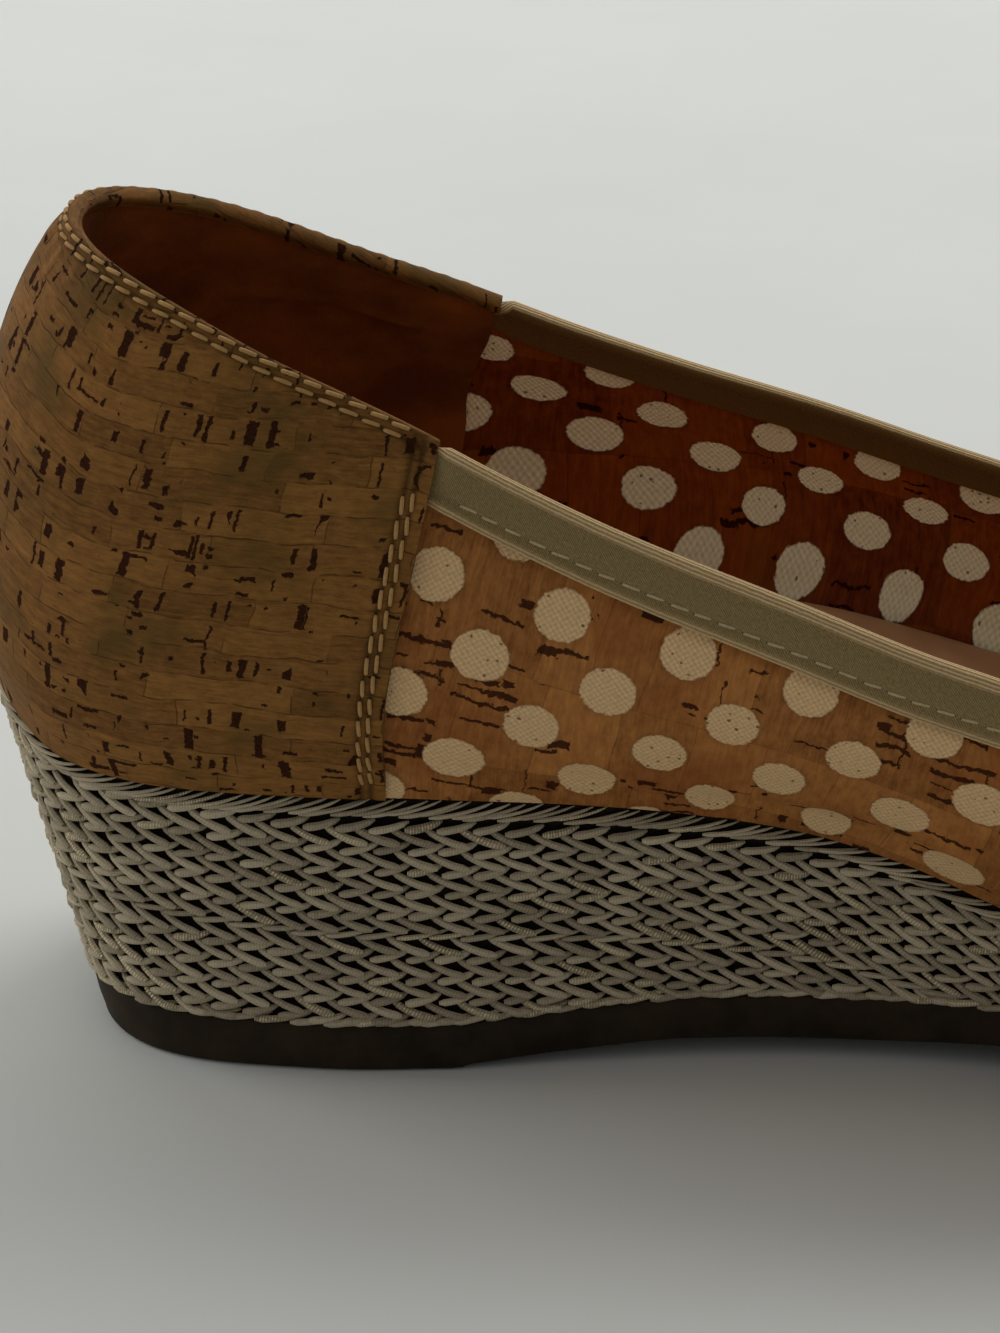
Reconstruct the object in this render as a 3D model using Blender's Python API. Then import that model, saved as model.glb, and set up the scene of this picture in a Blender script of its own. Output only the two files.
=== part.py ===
"""Wedge ballet flat, left shoe, in metres with +Z up.

The toe points to +X, the outer side of the foot to +Y and the inner side to -Y.
The origin is on the floor, under the middle of the shoe.
Places round the shoe are given by one turn value: 0 is the back of the heel,
-1 to 0 runs along the inner side, 0 to 1 along the outer side, and both ends meet at the toe.
"""
import bpy
import bmesh
import numpy as np
from mathutils import Matrix

MM = 0.001

# Driving dimensions in millimetres
GAP = 0.3
WALL = 2.0
OUTSOLE_THICK = 6.6
OUTSOLE_CHAMFER = 1.2
BAND_THICK = 2.2
INSOLE_THICK = 6.0
LEANING_WALL = 1.3
COUNTER_THICK = 1.2
COUNTER_TOP = 1.022
BINDING_THICK = 0.9
BINDING_OUTSIDE = 7.6
BINDING_INSIDE = 6.5
COUNTER_TURN = 0.222
SEAM_TURN = 0.004
LOWER_BAND_TURN = 0.47

# Numbers of steps round the shoe and up its wall, and small steps for slopes
SIDE_STEPS = 44
UPPER_STEPS = 52
WALL_STEPS = 9
BAND_STEPS = 3
COUNTER_STEPS = 30
BINDING_STEPS = 64
FINE_STEPS = 60
OUTLINE_SAMPLES = 1200
SMALL_TURN = 0.004
SHARP_ANGLE = np.radians(40.0)


def table(columns, rows):
    """Give each named column of a table as an array."""
    values = np.array(rows, dtype=float)
    return {name: values[:, place] for place, name in enumerate(columns.split())}


# Sections of the sole: distance from the back of the heel, half breadths of the tread and of the feather
# line where the upper meets the sole, sideways swing of the centre line, lift of the tread and height of
# the feather line, and the height of the upper braid band
SOLE = table("along tread feather swing lift seat band", [
    (0, 28.6, 28.0, 0.0, 0.0, 40.2, 17.4),
    (45, 28.6, 28.0, 0.0, 0.0, 36.9, 17.2),
    (60, 27.6, 27.4, 0.8, 0.0, 36.5, 17.2),
    (75, 25.5, 26.6, 2.2, 1.2, 35.8, 17.2),
    (91, 23.7, 25.8, 3.6, 2.3, 34.2, 17.2),
    (103, 23.0, 25.6, 4.5, 2.6, 32.3, 17.2),
    (115, 23.4, 26.0, 5.0, 2.5, 28.8, 16.6),
    (127, 25.4, 27.6, 4.8, 2.0, 24.3, 14.4),
    (142, 30.0, 31.2, 3.8, 0.9, 20.0, 12.6),
    (158, 35.0, 35.4, 2.4, 0.0, 17.5, 11.2),
    (182, 39.0, 39.5, 0.5, 0.0, 16.4, 11.0),
    (198, 39.6, 40.4, -0.6, 0.0, 16.4, 11.0),
    (228, 39.0, 40.0, -3.5, 2.2, 18.0, 11.0),
    (247, 38.4, 39.4, -6.0, 5.0, 20.8, 11.0),
    (265, 38.0, 39.0, -8.4, 9.0, 24.8, 11.0),
])

# Sections of the topline: distance along, half breadth, swing and height of the wall's rim
TOPLINE = table("along half swing height", [
    (10, 21.0, 0.0, 99.8),
    (27, 22.0, 0.0, 93.5),
    (41, 24.0, 0.2, 87.6),
    (55, 26.6, 0.6, 82.2),
    (70, 29.6, 1.0, 76.0),
    (82, 31.8, 1.4, 71.6),
    (102, 34.4, 2.0, 65.2),
    (120, 35.8, 2.2, 59.2),
    (140, 36.0, 1.6, 54.0),
    (156, 35.4, 0.8, 51.6),
    (172, 34.2, -0.2, 51.0),
    (192, 33.0, -1.6, 52.6),
])

# Where each outline starts at the heel and ends at the toe, how long its round ends are and how square
ENDS = table("back tip heel_round heel_power toe_round toe_power", [
    (13.5, 257.0, 27.0, 2.9, 66.0, 2.25),
    (11.8, 259.5, 29.0, 2.7, 67.0, 2.25),
    (0.4, 263.5, 37.0, 2.3, 70.0, 2.2),
    (10.0, 192.0, 30.0, 2.2, 44.0, 2.2),
])
TREAD_END, SHOULDER_END, FEATHER_END, TOPLINE_END = range(4)

# Share of the way along the topline that each share along the feather line is joined to by a rib
MATCH = table("feather topline", [
    (0.0, 0.0),
    (0.15, 0.19),
    (0.222, 0.283),
    (0.31, 0.41),
    (0.42, 0.565),
    (0.54, 0.715),
    (0.68, 0.855),
    (0.84, 0.95),
    (1.0, 1.0),
])

# Belly of the wall's ribs: how far the lower and the upper handle of each rib stand out from the rib's
# ends, how far the lower one rises and how far the upper one drops
INNER_RIBS = table("turn out_low rise_low out_high drop_high", [
    (0.0, 1.6, 21.0, 11.6, 14.0),
    (0.12, 5.4, 17.0, 10.4, 14.0),
    (0.25, 8.0, 12.5, 7.6, 13.0),
    (0.42, 11.0, 13.0, 4.6, 10.0),
    (0.54, 9.6, 12.0, 4.6, 7.0),
    (0.68, 6.4, 15.0, 10.0, 2.0),
    (0.84, 4.2, 20.0, 26.0, 0.0),
    (1.0, 2.4, 23.0, 36.0, 0.0),
])
OUTER_RIBS = table("turn out_low rise_low out_high drop_high", [
    (0.0, 1.6, 21.0, 11.6, 14.0),
    (0.12, 5.2, 17.0, 10.4, 14.0),
    (0.25, 7.2, 13.0, 7.6, 13.0),
    (0.42, 7.4, 12.5, 4.6, 10.0),
    (0.54, 6.4, 12.0, 4.6, 7.0),
    (0.68, 5.6, 15.0, 10.0, 2.0),
    (0.84, 4.0, 20.0, 26.0, 0.0),
    (1.0, 2.4, 23.0, 36.0, 0.0),
])

# Colour, roughness and metallic value of each sub-part
FINISHES = {
    "outsole": ((0.022, 0.016, 0.013), 0.62, 0.0),
    "wedge_core": ((0.30, 0.24, 0.18), 0.80, 0.0),
    "braid_band_upper": ((0.27, 0.24, 0.20), 0.75, 0.0),
    "braid_band_lower": ((0.25, 0.22, 0.18), 0.75, 0.0),
    "upper": ((0.36, 0.21, 0.11), 0.60, 0.0),
    "heel_counter": ((0.30, 0.18, 0.09), 0.60, 0.0),
    "topline_binding": ((0.24, 0.20, 0.13), 0.85, 0.0),
    "insole": ((0.33, 0.20, 0.12), 0.55, 0.0),
}


def read(columns, key, name, places):
    """Read a column at any places, along a smooth curve that never overshoots its rows."""
    x = columns[key]
    y = columns[name]
    step = np.diff(x)
    slope = np.diff(y) / step
    tangent = np.zeros_like(y)
    tangent[0] = slope[0]
    tangent[-1] = slope[-1]
    before = slope[:-1]
    after = slope[1:]
    same_way = before * after > 0
    safe = np.where(same_way, before + after, 1.0)
    tangent[1:-1] = np.where(same_way, 2.0 * before * after / safe, 0.0)
    places = np.clip(places, x[0], x[-1])
    row = np.clip(np.searchsorted(x, places) - 1, 0, len(x) - 2)
    t = (places - x[row]) / step[row]
    rise = y[row] + t * t * (3.0 - 2.0 * t) * (y[row + 1] - y[row])
    return rise + step[row] * t * (1.0 - t) * ((1.0 - t) * tangent[row] - t * tangent[row + 1])


def wrap(turn):
    """Bring a turn value that passes the toe back to the other side."""
    turn = np.asarray(turn, dtype=float)
    return np.where(np.abs(turn) > 1.0, turn - 2.0 * np.sign(turn), turn)


def plan(columns, half_name, end, turn):
    """Give the plan points of an outline at the given turns, spaced by length along each side."""
    back = ENDS["back"][end]
    tip = ENDS["tip"][end]
    along = back + (tip - back) * (0.5 - 0.5 * np.cos(np.linspace(0.0, np.pi, OUTLINE_SAMPLES)))
    to_heel = np.clip((back + ENDS["heel_round"][end] - along) / ENDS["heel_round"][end], 0.0, 1.0)
    to_toe = np.clip((along - tip + ENDS["toe_round"][end]) / ENDS["toe_round"][end], 0.0, 1.0)
    heel_power = ENDS["heel_power"][end]
    toe_power = ENDS["toe_power"][end]
    heel_taper = (1.0 - to_heel ** heel_power) ** (1.0 / heel_power)
    toe_taper = (1.0 - to_toe ** toe_power) ** (1.0 / toe_power)
    half = read(columns, "along", half_name, along) * heel_taper * toe_taper
    swing = read(columns, "along", "swing", along)
    turn = wrap(turn)
    points = np.zeros(turn.shape + (2,))
    for side in (-1.0, 1.0):
        across = swing + side * half
        length = np.concatenate([[0.0], np.cumsum(np.hypot(np.diff(along), np.diff(across)))])
        chosen = turn * side >= 0.0
        share = np.abs(turn[chosen]) * length[-1]
        points[chosen, 0] = np.interp(share, length, along)
        points[chosen, 1] = np.interp(share, length, across)
    return points


def outward(columns, half_name, end, turn):
    """Give the unit vectors in plan that point out of an outline."""
    ahead = plan(columns, half_name, end, turn + SMALL_TURN)
    behind = plan(columns, half_name, end, turn - SMALL_TURN)
    along = ahead - behind
    normal = np.stack([-along[:, 1], along[:, 0]], axis=1)
    return normal / np.linalg.norm(normal, axis=1, keepdims=True)


def lift_at(points):
    """Height of the tread over the floor."""
    return read(SOLE, "along", "lift", points[:, 0])


def seat_at(points):
    """Height of the feather line."""
    return read(SOLE, "along", "seat", points[:, 0])


def feather(turn, inset=0.0, raised=0.0):
    """Points of the feather line, drawn in by an inset and raised."""
    flat = plan(SOLE, "feather", FEATHER_END, turn)
    drawn = flat - inset * outward(SOLE, "feather", FEATHER_END, turn)
    return np.column_stack([drawn, seat_at(flat) + raised])


def shoulder(turn, inset=0.0, raised=0.0):
    """Points of the outsole's upper edge, drawn in by an inset and raised."""
    flat = plan(SOLE, "tread", SHOULDER_END, turn)
    drawn = flat - inset * outward(SOLE, "tread", SHOULDER_END, turn)
    return np.column_stack([drawn, lift_at(flat) + OUTSOLE_THICK + raised])


def tread(turn, inset=0.0, raised=0.0):
    """Points of the outsole's lower edge, drawn in by an inset and raised."""
    flat = plan(SOLE, "tread", TREAD_END, turn)
    drawn = flat - inset * outward(SOLE, "tread", TREAD_END, turn)
    return np.column_stack([drawn, lift_at(flat) + raised])


def ribs(turn, level):
    """Points of the upper's outer face: a cubic rib from the feather line to the topline at each turn."""
    turn = wrap(turn)
    share = np.abs(turn)
    join = read(MATCH, "feather", "topline", share) * np.where(turn < 0.0, -1.0, 1.0)
    low = feather(turn, raised=GAP)
    flat = plan(TOPLINE, "half", TOPLINE_END, join)
    high = np.column_stack([flat, read(TOPLINE, "along", "height", flat[:, 0])])
    inner = turn < 0.0
    handles = {}
    for name in ("out_low", "rise_low", "out_high", "drop_high"):
        inner_side = read(INNER_RIBS, "turn", name, share)
        outer_side = read(OUTER_RIBS, "turn", name, share)
        handles[name] = np.where(inner, inner_side, outer_side)[:, None]
    up = np.array([0.0, 0.0, 1.0])
    out_low = np.column_stack([outward(SOLE, "feather", FEATHER_END, turn), np.zeros(len(turn))])
    out_high = np.column_stack([outward(TOPLINE, "half", TOPLINE_END, join), np.zeros(len(turn))])
    low_handle = low + out_low * handles["out_low"] + up * handles["rise_low"]
    high_handle = high + out_high * handles["out_high"] - up * handles["drop_high"]
    t = np.asarray(level, dtype=float)[None, :, None]
    s = 1.0 - t
    return (s ** 3 * low[:, None] + 3.0 * s * s * t * low_handle[:, None]
            + 3.0 * s * t * t * high_handle[:, None] + t ** 3 * high[:, None])


def rib_normals(turn, level):
    """Unit normals of the upper's outer face."""
    level = np.asarray(level, dtype=float)
    around = ribs(turn + SMALL_TURN, level) - ribs(turn - SMALL_TURN, level)
    upward = ribs(turn, level + SMALL_TURN) - ribs(turn, level - SMALL_TURN)
    normal = np.cross(upward, around)
    return normal / np.linalg.norm(normal, axis=2, keepdims=True)


def face(turn, level, stand):
    """Points that stand off the upper's outer face by a distance along its normal."""
    return ribs(turn, level) + stand * rib_normals(turn, level)


def loop_turns(steps):
    """Turns once round the shoe: from the heel along the inner side to the toe and back."""
    one_side = np.linspace(0.0, 1.0, steps + 1)
    return np.concatenate([-one_side, one_side[-2:0:-1]])


def add_object(name, points, faces):
    """Make a named object with its own material from points in millimetres and faces."""
    mesh = bpy.data.meshes.new(name)
    work = bmesh.new()
    corners = [work.verts.new(np.asarray(point) * MM) for point in points]
    for indices in faces:
        work.faces.new([corners[index] for index in indices])
    bmesh.ops.recalc_face_normals(work, faces=work.faces)
    bmesh.ops.triangulate(work, faces=[ring for ring in work.faces if len(ring.verts) > 3])
    work.to_mesh(mesh)
    work.free()
    mesh.shade_smooth()
    mesh.set_sharp_from_angle(angle=SHARP_ANGLE)
    colour, roughness, metallic = FINISHES[name]
    material = bpy.data.materials.new(name)
    material.use_nodes = True
    shader = material.node_tree.nodes["Principled BSDF"]
    shader.inputs["Base Color"].default_value = (*colour, 1.0)
    shader.inputs["Roughness"].default_value = roughness
    shader.inputs["Metallic"].default_value = metallic
    mesh.materials.append(material)
    item = bpy.data.objects.new(name, mesh)
    bpy.context.scene.collection.objects.link(item)
    return item


def sheet_solid(name, outer, inner, closed):
    """Make a wall from its outer and inner faces, two grids of points, with rims between them."""
    rows, columns = outer.shape[:2]
    points = np.concatenate([outer.reshape(-1, 3), inner.reshape(-1, 3)])
    inside = rows * columns
    last = columns - 1
    faces = []
    for row in range(rows if closed else rows - 1):
        after = (row + 1) % rows
        for column in range(last):
            a = row * columns + column
            b = after * columns + column
            faces.append((a, b, b + 1, a + 1))
            faces.append((inside + a, inside + a + 1, inside + b + 1, inside + b))
        for column in (0, last):
            a = row * columns + column
            b = after * columns + column
            faces.append((a, b, inside + b, inside + a))
    if not closed:
        for row in (0, rows - 1):
            for column in range(last):
                a = row * columns + column
                faces.append((a, a + 1, inside + a + 1, inside + a))
    return add_object(name, points, faces)


def slab(name, loops):
    """Make a solid from loops round the shoe, one over the other, closed across its bottom and its top."""
    count = len(loops[0])
    half = count // 2
    points = np.concatenate(loops)
    faces = []
    for level in range(len(loops) - 1):
        for place in range(count):
            a = level * count + place
            b = level * count + (place + 1) % count
            faces.append((a, b, b + count, a + count))
    for start in (0, (len(loops) - 1) * count):
        for place in range(half):
            corners = [place, place + 1, (count - place - 1) % count, (count - place) % count]
            kept = list(dict.fromkeys(corners))
            faces.append(tuple(start + corner for corner in kept))
    return add_object(name, points, faces)


def wedge_side(turn, level, inset):
    """Points of the wedge's side, from the outsole's shoulder at level 0 to the feather line at level 1."""
    low = shoulder(turn, inset, GAP)
    high = feather(turn, inset)
    return low + level[:, None] * (high - low)


def groove_level(turn):
    """Level of the groove between the two braid bands."""
    low = shoulder(turn)
    high = feather(turn)
    band = read(SOLE, "along", "band", high[:, 0])
    return np.clip(1.0 - band / (high[:, 2] - low[:, 2]), 0.0, 1.0)


def band(name, turn, bottom, top, closed):
    """Make one braid band on the wedge's side between two levels."""
    shares = np.linspace(0.0, 1.0, BAND_STEPS + 1)
    levels = [bottom + share * (top - bottom) for share in shares]
    outer = np.stack([wedge_side(turn, level, 0.0) for level in levels], axis=1)
    inner = np.stack([wedge_side(turn, level, BAND_THICK) for level in levels], axis=1)
    return sheet_solid(name, outer, inner, closed)


def outsole():
    """The rubber outsole: tread with chamfered edge, heel seat, arch and toe spring."""
    turn = loop_turns(SIDE_STEPS)
    return slab("outsole", [
        tread(turn, OUTSOLE_CHAMFER),
        tread(turn, 0.0, OUTSOLE_CHAMFER),
        shoulder(turn),
    ])


def wedge_core():
    """The midsole wedge inside the braid."""
    turn = loop_turns(SIDE_STEPS)
    inset = BAND_THICK + GAP
    return slab("wedge_core", [
        shoulder(turn, inset, GAP),
        feather(turn, inset),
    ])


def braid_bands():
    """The upper braid band all round and the lower one round the heel, which taper to the waist."""
    turn = loop_turns(SIDE_STEPS)
    groove = groove_level(turn)
    half_gap = 0.5 * GAP / (feather(turn)[:, 2] - shoulder(turn)[:, 2])
    upper_bottom = np.where(groove > 0.0, groove + half_gap, 0.0)
    band("braid_band_upper", turn, upper_bottom, np.ones_like(turn), True)
    turn = np.linspace(-LOWER_BAND_TURN, LOWER_BAND_TURN, SIDE_STEPS + 1)
    groove = groove_level(turn)
    half_gap = 0.5 * GAP / (feather(turn)[:, 2] - shoulder(turn)[:, 2])
    band("braid_band_lower", turn, np.zeros_like(turn), groove - half_gap, False)


def upper():
    """The hollow upper: quarters and vamp in one wall, open at the topline and underneath."""
    turn = loop_turns(UPPER_STEPS)
    level = np.linspace(0.0, 1.0, WALL_STEPS + 1)
    outer = ribs(turn, level)
    inner = face(turn, level, -WALL)
    inner[:, 0] = feather(turn, WALL, GAP)
    return sheet_solid("upper", outer, inner, True)


def heel_counter():
    """The counter overlay round the heel, cut between two forms larger than the upper."""
    turn = np.linspace(-COUNTER_TURN, COUNTER_TURN, COUNTER_STEPS + 1)
    level = np.linspace(0.0, COUNTER_TOP, WALL_STEPS + 1)
    outer = face(turn, level, GAP + COUNTER_THICK)
    inner = face(turn, level, GAP)
    return sheet_solid("heel_counter", outer, inner, False)


def topline_binding():
    """The tape folded over the topline from one front edge of the counter round the throat to the other."""
    start = COUNTER_TURN + SEAM_TURN
    turn = wrap(-np.linspace(start, 2.0 - start, BINDING_STEPS + 1))
    level = np.linspace(0.0, 1.0, FINE_STEPS + 1)
    skin = ribs(turn, level)
    normal = rib_normals(turn, level)
    reach = np.linalg.norm(np.diff(skin, axis=1), axis=2)
    depth = np.concatenate([np.cumsum(reach[:, ::-1], axis=1)[:, ::-1], np.zeros((len(turn), 1))], axis=1)
    climb = skin[:, -1] - skin[:, -2]
    climb /= np.linalg.norm(climb, axis=1, keepdims=True)
    folds = [(BINDING_OUTSIDE, 1, 0), (0.5 * BINDING_OUTSIDE, 1, 0), (0.0, 1, 0), (0.0, 1, 1), (0.0, 0, 1),
             (0.0, -1, 1), (0.0, -1, 0), (0.5 * BINDING_INSIDE, -1, 0), (BINDING_INSIDE, -1, 0)]
    sheets = []
    for stand in (GAP + BINDING_THICK, GAP):
        rows = []
        for down, out, over in folds:
            rib_rows = []
            for rib in range(len(turn)):
                at = np.interp(down, depth[rib][::-1], level[::-1])
                base = np.array([np.interp(at, level, skin[rib, :, axis]) for axis in range(3)])
                lean = np.array([np.interp(at, level, normal[rib, :, axis]) for axis in range(3)])
                sink = 0.5 * WALL * (1 - out)
                rib_rows.append(base - sink * lean + stand * (out * lean + over * climb[rib]))
            rows.append(rib_rows)
        sheets.append(np.array(rows).transpose(1, 0, 2))
    return sheet_solid("topline_binding", sheets[0], sheets[1], False)


def insole():
    """The padded sock that lies on the wedge and fills the upper from wall to wall."""
    turn = loop_turns(SIDE_STEPS)
    level = np.linspace(0.0, 0.5, FINE_STEPS + 1)
    wall = ribs(turn, level)
    heights = wall[:, 0, 2] + INSOLE_THICK
    edge = np.array([[np.interp(height, rib[:, 2], rib[:, axis]) for axis in range(3)]
                     for height, rib in zip(heights, wall)])
    lean = np.column_stack([outward(SOLE, "feather", FEATHER_END, turn), np.zeros(len(turn))])
    return slab("insole", [
        feather(turn, WALL + 2.0 * GAP, GAP),
        edge - lean * (LEANING_WALL * WALL + 2.0 * GAP),
    ])


def stand_on_origin():
    """Move all meshes so that the origin is on the floor under the middle of the shoe."""
    items = list(bpy.context.scene.collection.objects)
    corners = np.array([corner.co for item in items for corner in item.data.vertices])
    low = corners.min(axis=0)
    high = corners.max(axis=0)
    shift = (-0.5 * (low[0] + high[0]), -0.5 * (low[1] + high[1]), -low[2])
    for item in items:
        item.data.transform(Matrix.Translation(shift))


def main():
    """Clear the scene and build every sub-part."""
    for item in list(bpy.data.objects):
        bpy.data.objects.remove(item, do_unlink=True)
    outsole()
    wedge_core()
    braid_bands()
    upper()
    heel_counter()
    topline_binding()
    insole()
    stand_on_origin()


main()
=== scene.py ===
"""Dresses the left wedge ballet flat: cork upper with linen dots, stitched counter, woven tape,
corded braid round the wedge, rubber outsole and leather sock, on a pale floor in soft light.

Sizes are in millimetres along the shoe: along from the back of the heel to the toe, across to the outer
side, and up. Places round the shoe are given by a turn: 0 at the back of the heel, -1 to 0 along the
inner side, 0 to 1 along the outer side, with both ends at the toe. A level runs up the upper's wall from
0 at the feather line, where upper and sole meet, to 1 at the topline.
"""
import logging
import math
from dataclasses import dataclass
from enum import Enum
from functools import cached_property, reduce
from typing import Iterable, Mapping, Optional, Sequence, Union

import bmesh
import bpy
import numpy as np
from mathutils import Matrix, Vector

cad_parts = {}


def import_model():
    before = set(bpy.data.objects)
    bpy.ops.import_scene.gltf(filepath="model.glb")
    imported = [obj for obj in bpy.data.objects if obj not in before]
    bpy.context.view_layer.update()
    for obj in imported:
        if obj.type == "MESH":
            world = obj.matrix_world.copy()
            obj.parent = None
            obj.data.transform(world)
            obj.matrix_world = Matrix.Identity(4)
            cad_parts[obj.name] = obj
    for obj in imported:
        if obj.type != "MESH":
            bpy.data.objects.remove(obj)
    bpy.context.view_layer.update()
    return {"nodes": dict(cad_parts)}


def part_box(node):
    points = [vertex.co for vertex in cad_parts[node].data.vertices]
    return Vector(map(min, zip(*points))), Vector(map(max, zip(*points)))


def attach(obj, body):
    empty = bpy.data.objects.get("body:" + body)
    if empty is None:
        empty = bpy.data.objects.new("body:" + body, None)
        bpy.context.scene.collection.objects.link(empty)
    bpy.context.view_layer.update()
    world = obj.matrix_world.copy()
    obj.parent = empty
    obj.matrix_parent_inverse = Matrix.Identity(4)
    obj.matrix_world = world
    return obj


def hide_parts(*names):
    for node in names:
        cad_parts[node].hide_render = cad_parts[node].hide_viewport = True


LOG = logging.getLogger("ballet_flat")
MM = 0.001
BODY = "root"
SMALL = 0.004
SHARP_DEGREES = 50.0
Array = np.ndarray
Material = bpy.types.Material
Socket = bpy.types.NodeSocket
Pair = tuple[float, float]
Triple = tuple[float, float, float]
Colour = Triple
Value = Union[float, Sequence[float], Socket]
Faces = list[tuple[int, ...]]


def srgb(red: int, green: int, blue: int) -> Colour:
    """Give a linear colour for a colour written as screen values from 0 to 255.

    Args:
        red: Red value.
        green: Green value.
        blue: Blue value.

    Returns:
        The linear colour.
    """
    shares = (red / 255.0, green / 255.0, blue / 255.0)
    return tuple(s / 12.92 if s <= 0.04045 else ((s + 0.055) / 1.055) ** 2.4 for s in shares)


def dimmed(colour: Colour, share: float) -> Colour:
    """Give a darker shade of a colour."""
    return tuple(share * c for c in colour)


class Slot(Enum):
    """Material slots of the part's record."""
    OUTSOLE = "outsole_rubber"
    BRAID = "braid_cord"
    UPPER = "upper_cork"
    COUNTER = "counter_cork"
    TAPE = "binding_tape"
    SOCK = "insole_leather"


class Lean(Enum):
    """Way that the cords of a braid row lean, seen from outside."""
    RISING = "up to the right"
    FALLING = "down to the right"


class Line(Enum):
    """Lines round the wedge that rows of cords follow."""
    SHOULDER = "top edge of the outsole"
    GROOVE = "groove between the two braids"
    FEATHER = "lower edge of the upper"


class Chart:
    """A short table with named columns, read along a smooth curve through its rows."""

    def __init__(self, columns: str, rows: Sequence[Sequence[float]]) -> None:
        """Keep the columns by name.

        Args:
            columns: Names of the columns, the first of which is the key.
            rows: Rows of numbers.
        """
        names = columns.split()
        values = np.array(rows, dtype=float)
        self.key = values[:, 0]
        self.columns = {name: values[:, place] for place, name in enumerate(names)}

    def at(self, name: str, places: Array) -> Array:
        """Read a column at any places of the key, without overshooting its rows.

        Args:
            name: The column.
            places: Places along the key.

        Returns:
            The column's values there.
        """
        x, y = self.key, self.columns[name]
        step = np.diff(x)
        slope = np.diff(y) / step
        tangent = np.concatenate([slope[:1], np.zeros(len(y) - 2), slope[-1:]])
        before, after = slope[:-1], slope[1:]
        same_way = before * after > 0
        safe = np.where(same_way, before + after, 1.0)
        tangent[1:-1] = np.where(same_way, 2.0 * before * after / safe, 0.0)
        places = np.clip(places, x[0], x[-1])
        row = np.clip(np.searchsorted(x, places) - 1, 0, len(x) - 2)
        t = (places - x[row]) / step[row]
        rise = y[row] + t * t * (3.0 - 2.0 * t) * (y[row + 1] - y[row])
        return rise + step[row] * t * (1.0 - t) * ((1.0 - t) * tangent[row] - t * tangent[row + 1])

    def end(self, name: str) -> float:
        """Give a column's value at the end of the key."""
        return self.at(name, self.key[-1:])[0]


# Sections of the sole and of the topline, the ribs' ends and the ribs' belly
SOLE = Chart("along tread feather swing lift seat band", [
    (0, 28.6, 28.0, 0.0, 0.0, 45.2, 22.3), (14, 28.6, 28.0, 0.0, 0.0, 37.7, 15.7),
    (26, 28.6, 28.0, 0.0, 0.0, 36.9, 15.9), (45, 28.6, 28.0, 0.0, 0.0, 36.9, 17.2),
    (60, 27.6, 27.4, 0.8, 0.0, 36.5, 17.2), (75, 25.5, 26.6, 2.2, 1.2, 35.8, 17.2),
    (91, 23.7, 25.8, 3.6, 2.3, 34.2, 17.2), (103, 23.0, 25.6, 4.5, 2.4, 32.3, 17.2),
    (115, 23.4, 26.0, 5.0, 2.5, 28.8, 16.6), (127, 24.6, 27.6, 4.8, 2.6, 24.3, 14.4),
    (142, 28.8, 31.2, 3.8, 1.8, 20.0, 12.6), (158, 35.0, 35.4, 2.4, 0.0, 17.5, 11.2),
    (182, 39.0, 39.5, 0.5, 0.0, 16.4, 11.0), (198, 39.6, 40.4, -0.6, 0.0, 16.4, 11.0),
    (228, 39.0, 40.0, -3.5, 2.2, 18.0, 11.0), (247, 38.4, 39.4, -6.0, 5.0, 20.8, 11.0),
    (265, 38.0, 39.0, -8.4, 9.0, 24.8, 11.0),
])
TOPLINE = Chart("along half swing height", [
    (10, 21.0, 0.0, 101.1), (27, 22.0, 0.0, 94.9), (41, 24.0, 0.2, 89.0), (55, 26.6, 0.6, 83.6),
    (70, 29.6, 1.0, 77.2), (82, 31.8, 1.4, 72.6), (102, 34.4, 2.0, 65.9), (120, 35.8, 2.2, 59.7),
    (140, 36.0, 1.6, 54.4), (156, 35.4, 0.8, 52.0), (172, 34.2, -0.2, 51.3), (192, 33.0, -1.6, 52.8),
])
MATCH = Chart("feather topline", [
    (0.0, 0.0), (0.15, 0.19), (0.222, 0.283), (0.31, 0.41), (0.42, 0.565), (0.54, 0.715), (0.68, 0.855),
    (0.84, 0.95), (1.0, 1.0),
])
INNER_RIBS = Chart("turn out_low rise_low out_high drop_high", [
    (0.0, 1.6, 21.0, 11.6, 14.0), (0.12, 5.4, 17.0, 10.4, 14.0), (0.25, 8.0, 12.5, 7.6, 13.0),
    (0.42, 11.0, 13.0, 4.6, 10.0), (0.54, 9.6, 12.0, 4.6, 7.0), (0.68, 6.4, 15.0, 10.0, 2.0),
    (0.84, 4.2, 20.0, 26.0, 0.0), (1.0, 2.4, 23.0, 36.0, 0.0),
])
OUTER_RIBS = Chart("turn out_low rise_low out_high drop_high", [
    (0.0, 1.6, 21.0, 11.6, 14.0), (0.12, 5.2, 17.0, 10.4, 14.0), (0.25, 7.2, 13.0, 7.6, 13.0),
    (0.42, 7.4, 12.5, 4.6, 10.0), (0.54, 6.4, 12.0, 4.6, 7.0), (0.68, 5.6, 15.0, 10.0, 2.0),
    (0.84, 4.0, 20.0, 26.0, 0.0), (1.0, 2.4, 23.0, 36.0, 0.0),
])
# Front edges of the counter and of the heel lining, by their level up the wall
COUNTER_EDGE = Chart("level turn", [
    (0.0, 0.2296), (0.06, 0.2296), (0.26, 0.2264), (0.40, 0.2250), (0.70, 0.2246), (0.92, 0.2248),
    (1.0, 0.2248),
])
LINING_EDGE = Chart("level turn", [
    (0.0, 0.2260), (0.58, 0.2195), (0.68, 0.2170), (0.80, 0.2185), (0.90, 0.2215), (1.0, 0.2225),
])
# Cloth of the front lining that is taken up down the wall, by the distance below the topline
LINING_CLOTH = Chart("depth cloth", [
    (0, 21.0), (5, 26.4), (8, 29.7), (11, 33.8), (15, 37.7), (20, 42.0), (26, 45.6), (33, 49.2), (60, 63.0),
])


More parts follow.
